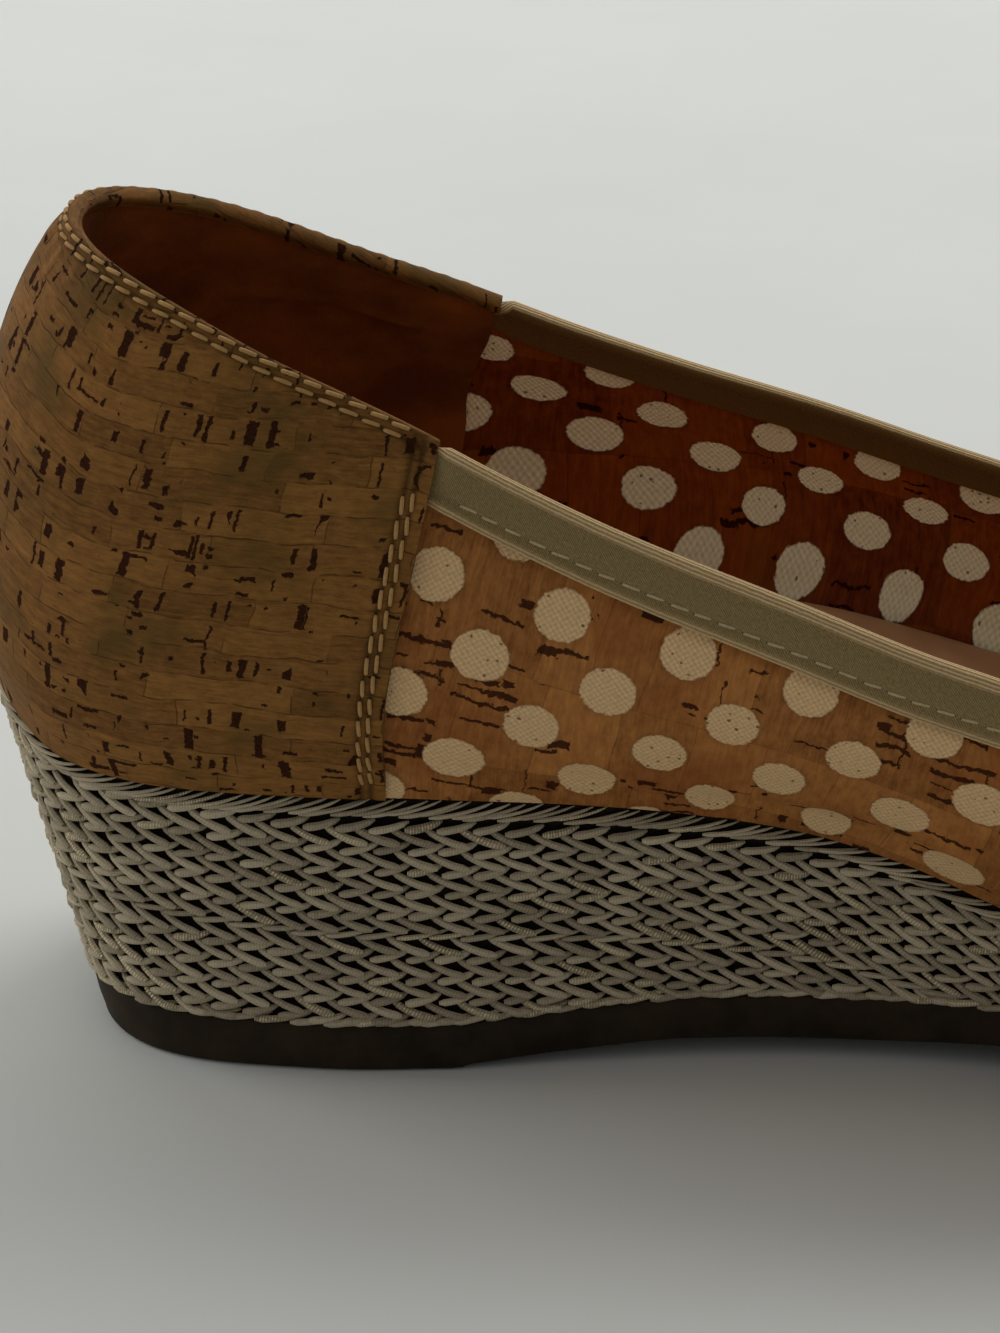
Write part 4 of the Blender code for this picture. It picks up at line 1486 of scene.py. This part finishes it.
@dataclass
class HeelCounter:
    """Counter overlay round the heel, folded over the topline at a thin edge and sewn with two rows.

    Body, rim and foot give the stand of its outer and inner face off the wall: over most of its height, at
    the topline and at the feather line. Rows are measured from the fold's crown and from the front edges, and
    each kind fades in from the other's edge. Gathers are two waves, the second with a start and a beat.
    """
    shop: Workshop
    body: Pair = (1.45, 0.45)
    rim: Pair = (0.65, 0.2)
    foot: Pair = (0.4, 0.05)
    rim_start: float = 0.5
    rim_reach: float = 6.0
    foot_reach: float = 8.0
    back_share: float = 0.7
    back_reach: float = 0.07
    layers: float = 2.3
    crest: float = 0.7
    crown_slack: float = 0.4
    fold_start: float = 0.3
    turned_in: tuple[float, ...] = (0.1, 0.3, 0.5)
    inside: Pair = (0.4, 0.06)
    fold_steps: int = 9
    groove: float = 0.2
    groove_half: float = 0.42
    top_rows: Pair = (1.7, 2.95)
    front_rows: Pair = (1.8, 2.95)
    top_rows_from: Pair = (0.8, 1.6)
    front_rows_from: Pair = (1.5, 2.5)
    front_rows_stop: int = 8
    pucker: float = 0.05
    pucker_pitch: float = 3.0
    pucker_reach: float = 1.6
    gathers: float = 0.11
    gather_pitch: float = 0.0135
    gather_reach: float = 0.06
    gather_drop: Pair = (5.0, 2.6)
    gather_beat: Pair = (11.0, 1.7)
    steps: int = 300
    crowding: float = 1.25
    fine_from: float = 0.88
    top_level: float = 0.985
    coarse_levels: int = 48
    fine_levels: int = 24

    def faces(self, turns: Array, depth: Array) -> list[Array]:
        """Give the smooth outer and inner face, thinned towards the topline and the feather line.

        Args:
            turns: Turns of each point, with a column for each level.
            depth: Distance of each point below the topline.

        Returns:
            Two grids of stands off the wall.
        """
        near_rim = 1.0 - eased(depth, self.rim_start, self.rim_reach)
        near_foot = 1.0 - eased(depth[:, :1] - depth, 0.0, self.foot_reach)
        thinned = 1.0 - (1.0 - self.back_share) * bell(turns, 0.0, self.back_reach)
        stands = []
        for body, rim, foot in zip(self.body, self.rim, self.foot):
            full = np.maximum(body * thinned, rim)
            stands.append(full + (rim - full) * near_rim + (foot - full) * near_foot)
        return stands

    def sewn(self, inset: Array, drop: Array) -> Array:
        """Give where the overlay is sewn, from 0 to 1.

        Args:
            inset: Distance from the nearer front edge.
            drop: Distance from the fold's crown.

        Returns:
            Values over the grid.
        """
        along_top = sum(bell(drop, row, self.groove_half) for row in self.top_rows)
        down_front = sum(bell(inset, row, self.groove_half) for row in self.front_rows)
        rows = along_top * eased(inset, *self.top_rows_from) + down_front * eased(drop, *self.front_rows_from)
        return np.minimum(rows, 1.0)

    def relief(self, turns: Array, run: Array, inset: Array, drop: Array) -> Array:
        """Give the relief: a groove under each sewn row, puckers along it and gathers round the heel's back.

        Args:
            turns: Turns of each point.
            run: Length round the heel.
            inset: Distance from the nearer front edge.
            drop: Distance from the fold's crown.

        Returns:
            Relief in millimetres.
        """
        ripple = np.sin(math.tau * run / self.pucker_pitch)
        ripple = ripple * bell(drop, np.mean(self.top_rows), self.pucker_reach)
        phase = math.tau * turns / self.gather_pitch
        start, beat = self.gather_beat
        folds = (np.sin(phase) + np.sin(start + beat * phase)) * bell(turns, 0.0, self.gather_reach)
        folds = folds * bell(drop, *self.gather_drop)
        return self.gathers * folds + self.pucker * ripple - self.groove * self.sewn(inset, drop)

    def build(self) -> None:
        """Make the counter and its stitches."""
        last = self.shop.last
        even = np.linspace(-1.0, 1.0, self.steps + 1)
        share = np.sign(even) * (1.0 - (1.0 - np.abs(even)) ** self.crowding)
        level = np.concatenate([np.linspace(0.0, self.fine_from, self.coarse_levels, endpoint=False),
                                np.linspace(self.fine_from, self.top_level, self.fine_levels)])
        turns = share[:, None] * COUNTER_EDGE.at("turn", level)[None, :]
        depth = last.depth(turns[:, -1], level)
        stands = self.faces(turns, depth)
        run = path_length(last.patch(turns, level, stands[0]))
        inset = np.minimum(run, run[-1] - run)
        arc = self.crest + 0.5 * math.pi * self.rim[0] + self.crown_slack
        relief = self.relief(turns, run, inset, depth + arc)
        top = share * COUNTER_EDGE.end("turn")
        sides = []
        for stand, rim, inside in zip((stands[0] + relief, stands[1]), self.rim, self.inside):
            over = [rim, *np.linspace(rim, inside, self.fold_steps), *[inside] * len(self.turned_in)]
            fold = last.fold_over(top, over, [self.fold_start], self.turned_in, self.layers, self.crest,
                                  self.fold_steps)
            sides.append(np.concatenate([last.patch(turns, level, stand), fold], axis=1))
        outer, inner = sides
        crown = len(level) + 1 + self.fold_steps // 2
        flat = laid_flat(outer, outer.shape[1] // 2)
        inset = np.pad(inset, ((0, 0), (0, outer.shape[1] - len(level))), mode="edge")
        # The sewn mark also darkens the cork along the rows, as painted shade for their grooves.
        sewn = self.sewn(inset, np.abs(flat[:, :, 1] - flat[:, crown:crown + 1, 1]))
        self.shop.sheet("heel_counter_cork", outer, inner, False, FleckedCork().make(), Slot.COUNTER,
                        ["heel_counter"], flat, {"sewn": sewn})
        self.sew(outer, inner, crown)

    def sew(self, outer: Array, inner: Array, crown: int) -> None:
        """Make the double rows along the topline and down both front edges.

        Args:
            outer: Grid of the outer face.
            inner: Grid of the inner face.
            crown: Column of the fold's crown.
        """
        lean = unit(outer - inner)
        lines = []
        for down, inset in zip(self.top_rows, self.front_rows):
            line, normal = row_line(outer[:, crown::-1], lean[:, crown::-1], down)
            length = path_length(line)
            clear = np.minimum(length, length[-1] - length) > inset
            lines.append((line[clear], normal[clear]))
            for way in (1, -1):
                columns = [grid[::way, 1:crown - self.front_rows_stop].transpose(1, 0, 2)
                           for grid in (outer, lean)]
                line, normal = row_line(*columns, inset)
                drop = path_length(line[::-1])[::-1]
                clear = drop > down
                lines.append((line[clear], normal[clear]))
        thread = Thread("tan_thread", srgb(206, 164, 106), srgb(146, 108, 62))
        sewing = Stitching(self.shop, pitch=2.85, length=2.8, radius=0.27, rise=0.22, seed=11)
        sewing.sew("counter_stitches", lines, thread, Slot.COUNTER)


@dataclass
class ToplineBinding:
    """Woven tape folded over the topline in front of the counter, with a row of stitches on its outside.

    Tuck_ease and sewn_from are turns past the counter's edge.
    """
    shop: Workshop
    thick: float = 0.7
    lifted: float = 0.12
    layers: float = 1.78
    crest: float = 0.1
    outside: float = 6.6
    inside: float = 3.4
    sewn: float = 4.8
    bulge: float = 0.18
    bulge_up: float = 2.6
    bulge_half: float = 1.8
    groove: float = 0.3
    groove_half: float = 0.5
    bead: float = 0.12
    bead_in: float = 0.5
    bead_half: float = 0.35
    tucked: float = 0.0045
    tuck_share: float = 0.1
    tuck_ease: Pair = (-0.0005, 0.0035)
    sewn_from: float = 0.002
    fold_outside: float = 0.5
    fold_inside: float = 0.4
    fold_swell: float = 0.1
    outside_steps: int = 30
    inside_steps: int = 14
    fold_steps: int = 9
    steps: int = 330

    def relief(self, down: Array) -> Array:
        """Give the outside's relief: a bulge, a groove under the stitches and a bead along the edge."""
        return (self.bulge * bell(down, self.sewn - self.bulge_up, self.bulge_half)
                - self.groove * bell(down, self.sewn, self.groove_half)
                + self.bead * bell(down, self.outside - self.bead_in, self.bead_half))

    def build(self) -> None:
        """Make the tape, its ends tucked under the counter, and its stitches."""
        last = self.shop.last
        edge = COUNTER_EDGE.end("turn")
        start = edge - self.tucked
        turn = wrapped(-np.linspace(start, 2.0 - start, self.steps + 1))
        down = np.linspace(self.outside, self.fold_outside, self.outside_steps)
        under = np.linspace(self.fold_inside, self.inside, self.inside_steps)
        over = np.full(self.fold_steps, self.fold_swell)
        swell = np.concatenate([self.relief(down), over, np.zeros(len(under))])
        outer, inner = (last.fold_over(turn, stand, down, under, self.layers, self.crest, self.fold_steps)
                        for stand in (self.lifted + self.thick + swell, self.lifted))
        full = eased(np.abs(turn), *(edge + past for past in self.tuck_ease))
        share = self.tuck_share + (1.0 - self.tuck_share) * full
        outer = inner + share[:, None, None] * (outer - inner)
        flat = laid_flat(outer, len(down) // 2)
        tape = WovenTape(float(np.median(flat[:, len(down), 1])))
        self.shop.sheet("topline_tape", outer, inner, False, tape.make(), Slot.TAPE, ["topline_binding"],
                        flat)
        clear = np.abs(turn) > edge + self.sewn_from
        row = int(np.argmin(np.abs(down - self.sewn)))
        lines = [(outer[clear, row], unit(outer[clear, row] - inner[clear, row]))]
        thread = Thread("pale_thread", srgb(214, 194, 150), srgb(156, 136, 98))
        Stitching(self.shop, slant=0.2, length=2.7).sew("tape_stitches", lines, thread, Slot.TAPE)


@dataclass(frozen=True)
class Cord:
    """Form of a cord: length, climb from end to end, and radius at its proud and at its sunk end."""
    length: float
    climb: float
    thick: float
    thin: float


@dataclass(frozen=True)
class CordRow:
    """A row of cords: lean, height over the line it follows, shift along it and the form of each cord."""
    lean: Lean
    over: float
    shift: float
    cord: Cord


@dataclass
class BraidWrap:
    """Two corded braids round the wedge: one all round under the upper, one from heel to waist.

    Bow is how much a cord's climb curves, and dive and taper the powers by which it sinks and thins. Wander,
    uneven, heave, lift and girth are the small differences in place, length, height, stand and radius.
    """
    shop: Workshop
    rising: Cord = Cord(4.7, 1.0, 0.53, 0.41)
    falling: Cord = Cord(5.2, 1.9, 0.52, 0.42)
    fringe: tuple[CordRow, ...] = (
        CordRow(Lean.RISING, -1.15, 0.0, Cord(7.8, 1.9, 0.32, 0.18)),
        CordRow(Lean.RISING, -1.05, 2.0, Cord(7.0, 1.7, 0.27, 0.15)),
    )
    hem: CordRow = CordRow(Lean.RISING, 0.66, 0.0, Cord(6.4, 0.7, 0.46, 0.32))
    lower_edge: Cord = Cord(6.6, 0.95, 0.38, 0.24)
    lower_edge_over: float = -0.62
    upper_rows: int = 15
    lower_rows: int = 11
    row_pitch: float = 1.45
    cord_pitch: float = 4.03
    drift: float = 0.45
    stagger: float = 1.5
    proud: float = 0.34
    sunk: float = -0.62
    bow: float = 0.6
    dive: float = 2.4
    taper: float = 1.5
    end_round: float = 0.75
    wander: float = 0.3
    uneven: Pair = (0.94, 1.06)
    heave: float = 0.14
    lift: float = 0.1
    girth: Pair = (0.9, 1.12)
    upper_room: float = 1.3
    fringe_tuck: float = 0.4
    lower_room: float = 2.0
    hem_room: float = 0.1
    sole_overlap: float = 0.25
    rings: int = 8
    sides: int = 7
    glint_share: float = 0.14
    ground: float = 0.7
    core: float = 2.2
    ground_foot: float = 0.25
    ground_top: float = 0.05
    ground_levels: int = 5
    ground_steps: int = 200
    lower_turn: float = 0.465
    lower_end: float = 126.0
    samples: int = 1600
    seed: int = 21

    def side(self, turn: Array, height: Array, inset: float = 0.0) -> Array:
        """Give points of the wedge's side.

        Args:
            turn: Turns round the shoe.
            height: Heights over the floor.
            inset: Distance drawn in from the braid's face.

        Returns:
            Points.
        """
        last = self.shop.last
        low, high = last.shoulder(turn, inset), last.feather(turn, inset)
        share = (height - low[:, 2]) / (high[:, 2] - low[:, 2])
        return low + share[:, None] * (high - low)

    def heights(self, turn: Array) -> dict[Line, Array]:
        """Give the heights of the lines round the wedge.

        Args:
            turn: Turns round the shoe.

        Returns:
            Heights over the floor, by line.
        """
        last = self.shop.last
        shoulder, feather = last.shoulder(turn)[:, 2], last.feather(turn)
        groove = np.maximum(feather[:, 2] - SOLE.at("band", feather[:, 0]), shoulder)
        return {Line.SHOULDER: shoulder, Line.GROOVE: groove, Line.FEATHER: feather[:, 2]}

    def chevrons(self, count: int, first: Lean, upward: bool) -> list[CordRow]:
        """Give rows that lean to and fro, counted from the groove.

        Args:
            count: Number of rows.
            first: Lean of the row next to the groove.
            upward: Whether the rows climb from the groove or go down from it.

        Returns:
            The rows.
        """
        rows = []
        lean = first
        for row in range(count):
            over = (row + 0.5) * self.row_pitch * (1.0 if upward else -1.0)
            shift = self.drift * over / (2.0 * self.row_pitch)
            if lean is Lean.RISING:
                rows.append(CordRow(lean, over, shift + self.stagger, self.rising))
                lean = Lean.FALLING
            else:
                rows.append(CordRow(lean, over, shift, self.falling))
                lean = Lean.RISING
        return rows

    def lay(self, rows: Sequence[CordRow], line: Line, reach: float, rng: np.random.Generator,
            below_upper: float, over_sole: float = 0.55) -> list[tuple[Array, ...]]:
        """Lay rows of cords along a line round the wedge, from left to right as seen from outside.

        Args:
            rows: The rows.
            line: The line that they follow.
            reach: Turn at which they end on each side.
            rng: Source of the small differences between cords.
            below_upper: Room that their tops leave under the upper's edge.
            over_sole: Room that their feet leave over the outsole's edge.

        Returns:
            For each row the middles, outward vectors and radii of its cords, and their lengths.
        """
        turn = np.linspace(reach, -reach, self.samples)
        heights = self.heights(turn)
        length = path_length(self.side(turn, heights[line]))
        closed = reach == 1.0
        share = np.linspace(0.0, 1.0, self.rings)
        laid = []
        for row in rows:
            cord = row.cord
            count = int(length[-1] / self.cord_pitch)
            middle = (np.arange(count) + 0.5) * length[-1] / count + row.shift
            middle = middle + rng.uniform(-self.wander, self.wander, count)
            at = middle[:, None] + (share - 0.5) * cord.length * rng.uniform(*self.uneven, (count, 1))
            keep = np.full(count, True) if closed else (at[:, 0] > 0.0) & (at[:, -1] < length[-1])
            at = np.mod(at, length[-1])
            way = share if row.lean is Lean.RISING else share[::-1]
            climb = cord.climb * ((1.0 - self.bow) * way + self.bow * way ** 2 - 0.5)
            climb = climb + rng.uniform(-self.heave, self.heave, (count, 1))
            height = np.interp(at, length, heights[line]) + row.over + climb
            keep &= np.all(height < np.interp(at, length, heights[Line.FEATHER]) - below_upper, axis=1)
            sole = np.interp(at, length, heights[Line.SHOULDER]) + over_sole
            keep &= np.mean(height - sole, axis=1) > -self.sole_overlap
            height = np.maximum(height, sole)
            where = np.interp(at, length, turn)
            spine = self.side(where.ravel(), height.ravel()).reshape(count, self.rings, 3)
            out = flat_vectors(self.shop.last.feather_line.outward(where))
            over = self.proud + (self.sunk - self.proud) * way ** self.dive
            over = over + rng.uniform(-self.lift, self.lift, (count, 1))
            ends = np.sqrt(1.0 - self.end_round * (2.0 * share - 1.0) ** 10)
            radius = (cord.thick + (cord.thin - cord.thick) * way ** self.taper) * ends
            radius = radius * rng.uniform(*self.girth, (count, 1))
            spine = spine + out * over[:, :, None]
            laid.append((spine[keep], out[keep], radius[keep], np.full(int(keep.sum()), cord.length)))
        return laid

    def braid(self, name: str, node: str, laid: list[tuple[Array, ...]], rng: np.random.Generator,
              cord: Material) -> None:
        """Make one braid's cords in a joined mesh.

        Args:
            name: The piece's name.
            node: The node that it replaces.
            laid: Its rows of cords.
            rng: Source of the cords' shades.
            cord: Their finish.
        """
        spine, out, radius, length = (np.concatenate(part) for part in zip(*laid))
        points, faces = tubes(spine, out, radius, self.sides)
        share, angle = np.linspace(0.0, 1.0, self.rings), np.arange(self.sides) / self.sides
        one = np.stack(np.broadcast_arrays(share[:, None], angle[None, :]), axis=2).reshape(-1, 2)
        one = np.concatenate([one, [(0.0, 0.0), (1.0, 0.0)]])
        around = np.broadcast_to(one[:, 1], (len(spine), len(one)))
        flat = np.stack([np.outer(length, one[:, 0]), around], axis=2)
        tone = rng.uniform(0.0, 1.0, len(spine))
        glint = (rng.uniform(0.0, 1.0, len(spine)) < self.glint_share).astype(float)
        marks = {"tone": np.repeat(tone, len(one)), "glint": np.repeat(glint, len(one))}
        self.shop.piece(name, points, faces, cord, Slot.BRAID, [node], flat.reshape(-1, 2), marks)

    def build(self) -> None:
        """Make both braids and the dark backing behind them, painted near black as the shade in the gaps
        between the cords.
        """
        cord = TwistedCord().make()
        rng = np.random.default_rng(self.seed)
        chevrons = self.chevrons(self.upper_rows, Lean.FALLING, True)
        upper = self.lay(chevrons, Line.GROOVE, 1.0, rng, self.upper_room)
        upper += self.lay(self.fringe, Line.FEATHER, 1.0, rng, -self.fringe_tuck)
        hem = self.lay([self.hem], Line.SHOULDER, 1.0, rng, self.upper_room, self.hem_room)[0]
        ahead = hem[0][:, 0, 0] > self.lower_end
        upper.append(tuple(part[ahead] for part in hem))
        self.braid("braid_upper_cords", "braid_band_upper", upper, rng, cord)
        edge = CordRow(Lean.RISING, self.lower_edge_over, self.stagger, self.lower_edge)
        chevrons = self.chevrons(self.lower_rows, Lean.RISING, False)[1:]
        lower = self.lay([edge, *chevrons], Line.GROOVE, self.lower_turn, rng, self.lower_room)
        lower.append(tuple(part[~ahead] for part in hem))
        self.braid("braid_lower_cords", "braid_band_lower", lower, rng, cord)
        self.shade_backing()

    def shade_backing(self) -> None:
        """Make the backing sheet that shows between the cords, its near-black colour painted shade for the
        gaps.
        """
        turn = loop_turns(self.ground_steps)
        heights = self.heights(turn)
        low, high = heights[Line.SHOULDER] + self.ground_foot, heights[Line.FEATHER] - self.ground_top
        levels = [low + share * (high - low) for share in np.linspace(0.0, 1.0, self.ground_levels)]
        outer, inner = (np.stack([self.side(turn, level, inset) for level in levels], axis=1)
                        for inset in (self.ground, self.core))
        # painted shade: near-black colour that stands in for the shade between the cords
        dark = Matter("braid_gap_shade", srgb(40, 33, 25), srgb(16, 12, 9), rough=0.95, scale=500.0, relief=0.10,
                      specular=0.1)
        self.shop.sheet("braid_shade_backing", outer, inner, True, dark.make(), Slot.BRAID)


@dataclass
class Outsole:
    """Rubber outsole with a rounded lower edge and a shallow edge to its heel pad.

    Profile gives the share of the height and the distance drawn in of the loops up its side.
    """
    shop: Workshop
    steps: int = 220
    across: int = 10
    edge: float = 1.2
    edge_steps: int = 5
    bow: float = 0.25
    profile: tuple[Pair, ...] = ((0.35, 0.0), (0.7, 0.0), (0.94, 0.0), (1.0, 0.3))
    pad_end: float = 62.0
    pad_ramp: float = 1.0
    pad_step: float = 0.45
    pad_fade: float = 118.0
    pad_fade_length: float = 30.0
    waist: float = 134.0
    waist_reach: float = 17.0
    waist_lift: float = 1.4

    def build(self) -> None:
        """Make the outsole."""
        last = self.shop.last
        turn = loop_turns(self.steps)
        loops = []
        for angle in np.linspace(0.0, 0.5 * math.pi, self.edge_steps):
            inset, raised = self.edge * (1.0 - math.sin(angle)), self.edge * (1.0 - math.cos(angle))
            loops.append(last.tread(turn, inset, raised))
        low, high = loops[-1], last.shoulder(turn)
        out = flat_vectors(last.shoulder_line.outward(turn))
        for share, drawn in self.profile:
            loops.append(low + share * (high - low) + (self.bow * math.sin(math.pi * share) - drawn) * out)
        for loop in loops[:self.edge_steps]:
            behind = np.clip((self.pad_fade - loop[:, 0]) / self.pad_fade_length, 0.0, 1.0)
            step = eased(loop[:, 0], self.pad_end, self.pad_end + self.pad_ramp)
            loop[:, 2] += self.pad_step * step * behind
        for loop in loops[:-1]:
            loop[:, 2] += self.waist_lift * bell(loop[:, 0], self.waist, self.waist_reach)
        rubber = Matter("dark_rubber", srgb(54, 42, 28), srgb(27, 20, 13), rough=0.55, scale=160.0,
                        relief=0.05, specular=0.14)
        self.shop.slab("outsole_rubber", loops, self.across, rubber.make(), Slot.OUTSOLE, ["outsole"])


@dataclass
class Insole:
    """Padded leather sock that fills the upper from wall to wall, its edges turned up a little.

    Profile gives the share of the height and the distance drawn in of the loops up its edge.
    """
    shop: Workshop
    steps: int = 200
    across: int = 14
    dish: float = 2.0
    edge: float = 7.9
    waist: float = 132.0
    waist_reach: float = 14.0
    waist_edge: float = 1.3
    under: float = 0.6
    wall_share: float = 1.28
    clear: float = 0.3
    wall_top: float = 0.6
    wall_levels: int = 91
    profile: tuple[Pair, ...] = (
        (0.3, 0.0), (0.6, 0.0), (0.86, 0.0), (0.96, 0.3), (1.0, 0.9), (0.99, 2.0), (0.93, 4.0),
    )

    def build(self) -> None:
        """Make the sock."""
        last = self.shop.last
        turn = loop_turns(self.steps)
        wall = last.ribs(turn, np.linspace(0.0, self.wall_top, self.wall_levels))
        out = flat_vectors(last.feather_line.outward(turn))
        reach = self.edge + self.waist_edge * bell(wall[:, 0, 0], self.waist, self.waist_reach)
        loops = [last.feather(turn, last.wall + self.under, last.gap)]
        for share, inset in self.profile:
            heights = wall[:, 0, 2] + share * reach
            loop = np.array([read_along(height, rib[:, 2], rib) for height, rib in zip(heights, wall)])
            loops.append(loop - out * (self.wall_share * last.wall + self.clear + inset))
        sock = Hide("sock_leather", srgb(200, 145, 100), srgb(178, 125, 83), rough=0.42, relief=0.05,
                    sheen=0.05)
        self.shop.slab("insole_sock", loops, self.across, sock.make(), Slot.SOCK, ["insole"], self.dish)


@dataclass(frozen=True)
class Lamp:
    """A soft square light: its place and the point it faces in metres, side, power and colour."""
    name: str
    place: Triple
    aim: Triple
    size: float
    watts: float
    colour: Colour

    def build(self) -> None:
        """Add the light."""
        data = bpy.data.lights.new(self.name, "AREA")
        data.size, data.energy, data.color = self.size, self.watts, self.colour
        item = bpy.data.objects.new(self.name, data)
        item.location = self.place
        item.rotation_euler = (Vector(self.aim) - Vector(self.place)).to_track_quat("-Z", "Y").to_euler()
        bpy.context.scene.collection.objects.link(item)


@dataclass
class Studio:
    """Pale floor, soft light and the camera at the photograph's angle."""
    origin: Vector
    azimuth: float = 7.0
    elevation: float = 23.0
    focal_px: float = 4400.0
    image: tuple[int, int] = (1000, 1333)
    sensor: float = 36.0
    aim: Triple = (67.0, -27.0, 37.35)
    aim_px: Pair = (500.0, 800.0)
    px_per_mm: float = 8.35
    reach: float = 6.0
    room: float = 0.22
    room_colour: Colour = (1.0, 1.0, 0.98)
    lamps: tuple[Lamp, ...] = (
        Lamp("window", (-0.5, 1.1, 1.25), (0.0, 0.15, 0.0), 1.4, 6.8, (0.99, 1.0, 0.98)),
        Lamp("right_window", (0.7, 1.1, 1.1), (0.0, 0.15, 0.0), 1.2, 12.2, (0.99, 1.0, 0.98)),
        Lamp("left", (-1.4, 0.3, 0.7), (-0.05, 0.0, 0.05), 0.9, 7.0, (0.99, 1.0, 0.98)),
        Lamp("fill", (-1.25, -0.6, 0.75), (-0.05, 0.0, 0.05), 0.9, 1.0, (1.0, 0.98, 0.94)),
    )

    def camera(self) -> None:
        """Place the camera so that the aim point falls on its pixel at the photograph's scale."""
        a, e = math.radians(self.azimuth), math.radians(self.elevation)
        back = Vector((math.sin(a) * math.cos(e), -math.cos(a) * math.cos(e), math.sin(e)))
        right = Vector((math.cos(a), math.sin(a), 0.0))
        up = back.cross(right)
        away = self.focal_px / self.px_per_mm * MM
        side = (self.aim_px[0] - 0.5 * self.image[0]) / self.focal_px
        drop = (self.aim_px[1] - 0.5 * self.image[1]) / self.focal_px
        data = bpy.data.cameras.new("camera")
        data.sensor_width = self.sensor
        data.lens = self.sensor * self.focal_px / max(self.image)
        data.clip_start, data.clip_end = 0.01, 20.0
        item = bpy.data.objects.new("camera", data)
        place = self.origin + Vector(self.aim) * MM + (back - right * side + up * drop) * away
        item.matrix_world = Matrix.Translation(place) @ Matrix((right, up, back)).transposed().to_4x4()
        bpy.context.scene.collection.objects.link(item)
        bpy.context.scene.camera = item

    def floor(self) -> None:
        """Lay the pale floor."""
        mesh = bpy.data.meshes.new("floor")
        corners = [(x * self.reach, y * self.reach, 0.0) for x, y in ((-1, -1), (1, -1), (1, 1), (-1, 1))]
        mesh.from_pydata(corners, [], [(0, 1, 2, 3)])
        pale = Matter("pale_floor", srgb(228, 229, 226), srgb(222, 223, 220), rough=0.7, scale=6.0,
                      relief=0.02, specular=0.2)
        mesh.materials.append(pale.make())
        item = bpy.data.objects.new("floor", mesh)
        bpy.context.scene.collection.objects.link(item)

    def build(self) -> None:
        """Make floor, room light, lamps and camera."""
        self.floor()
        world = bpy.data.worlds.new("soft_room")
        world.use_nodes = True
        sky = world.node_tree.nodes["Background"]
        sky.inputs["Color"].default_value = (*self.room_colour, 1.0)
        sky.inputs["Strength"].default_value = self.room
        bpy.context.scene.world = world
        for lamp in self.lamps:
            lamp.build()
        bpy.context.scene.view_settings.view_transform = "Standard"
        self.camera()


def dress_core(core: bpy.types.Object) -> None:
    """Give the wedge under the braid a foam finish.

    Args:
        core: The wedge's solid.
    """
    foam = Matter("wedge_foam", srgb(190, 170, 140), srgb(150, 130, 104), rough=0.9, scale=700.0, relief=0.08)
    finish = foam.make()
    for place in core.material_slots:
        place.material = finish


def main() -> None:
    """Build the dressed shoe on the frame."""
    logging.basicConfig(level=logging.INFO, format="%(name)s %(message)s")
    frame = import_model()
    last = Last()
    shop = Workshop(last, last.origin())
    Studio(shop.origin).build()
    parts = Upper(shop), HeelCounter(shop), ToplineBinding(shop), BraidWrap(shop), Outsole(shop), Insole(shop)
    for part in parts:
        part.build()
    dress_core(frame["nodes"]["wedge_core"])


if __name__ == "__main__":
    main()
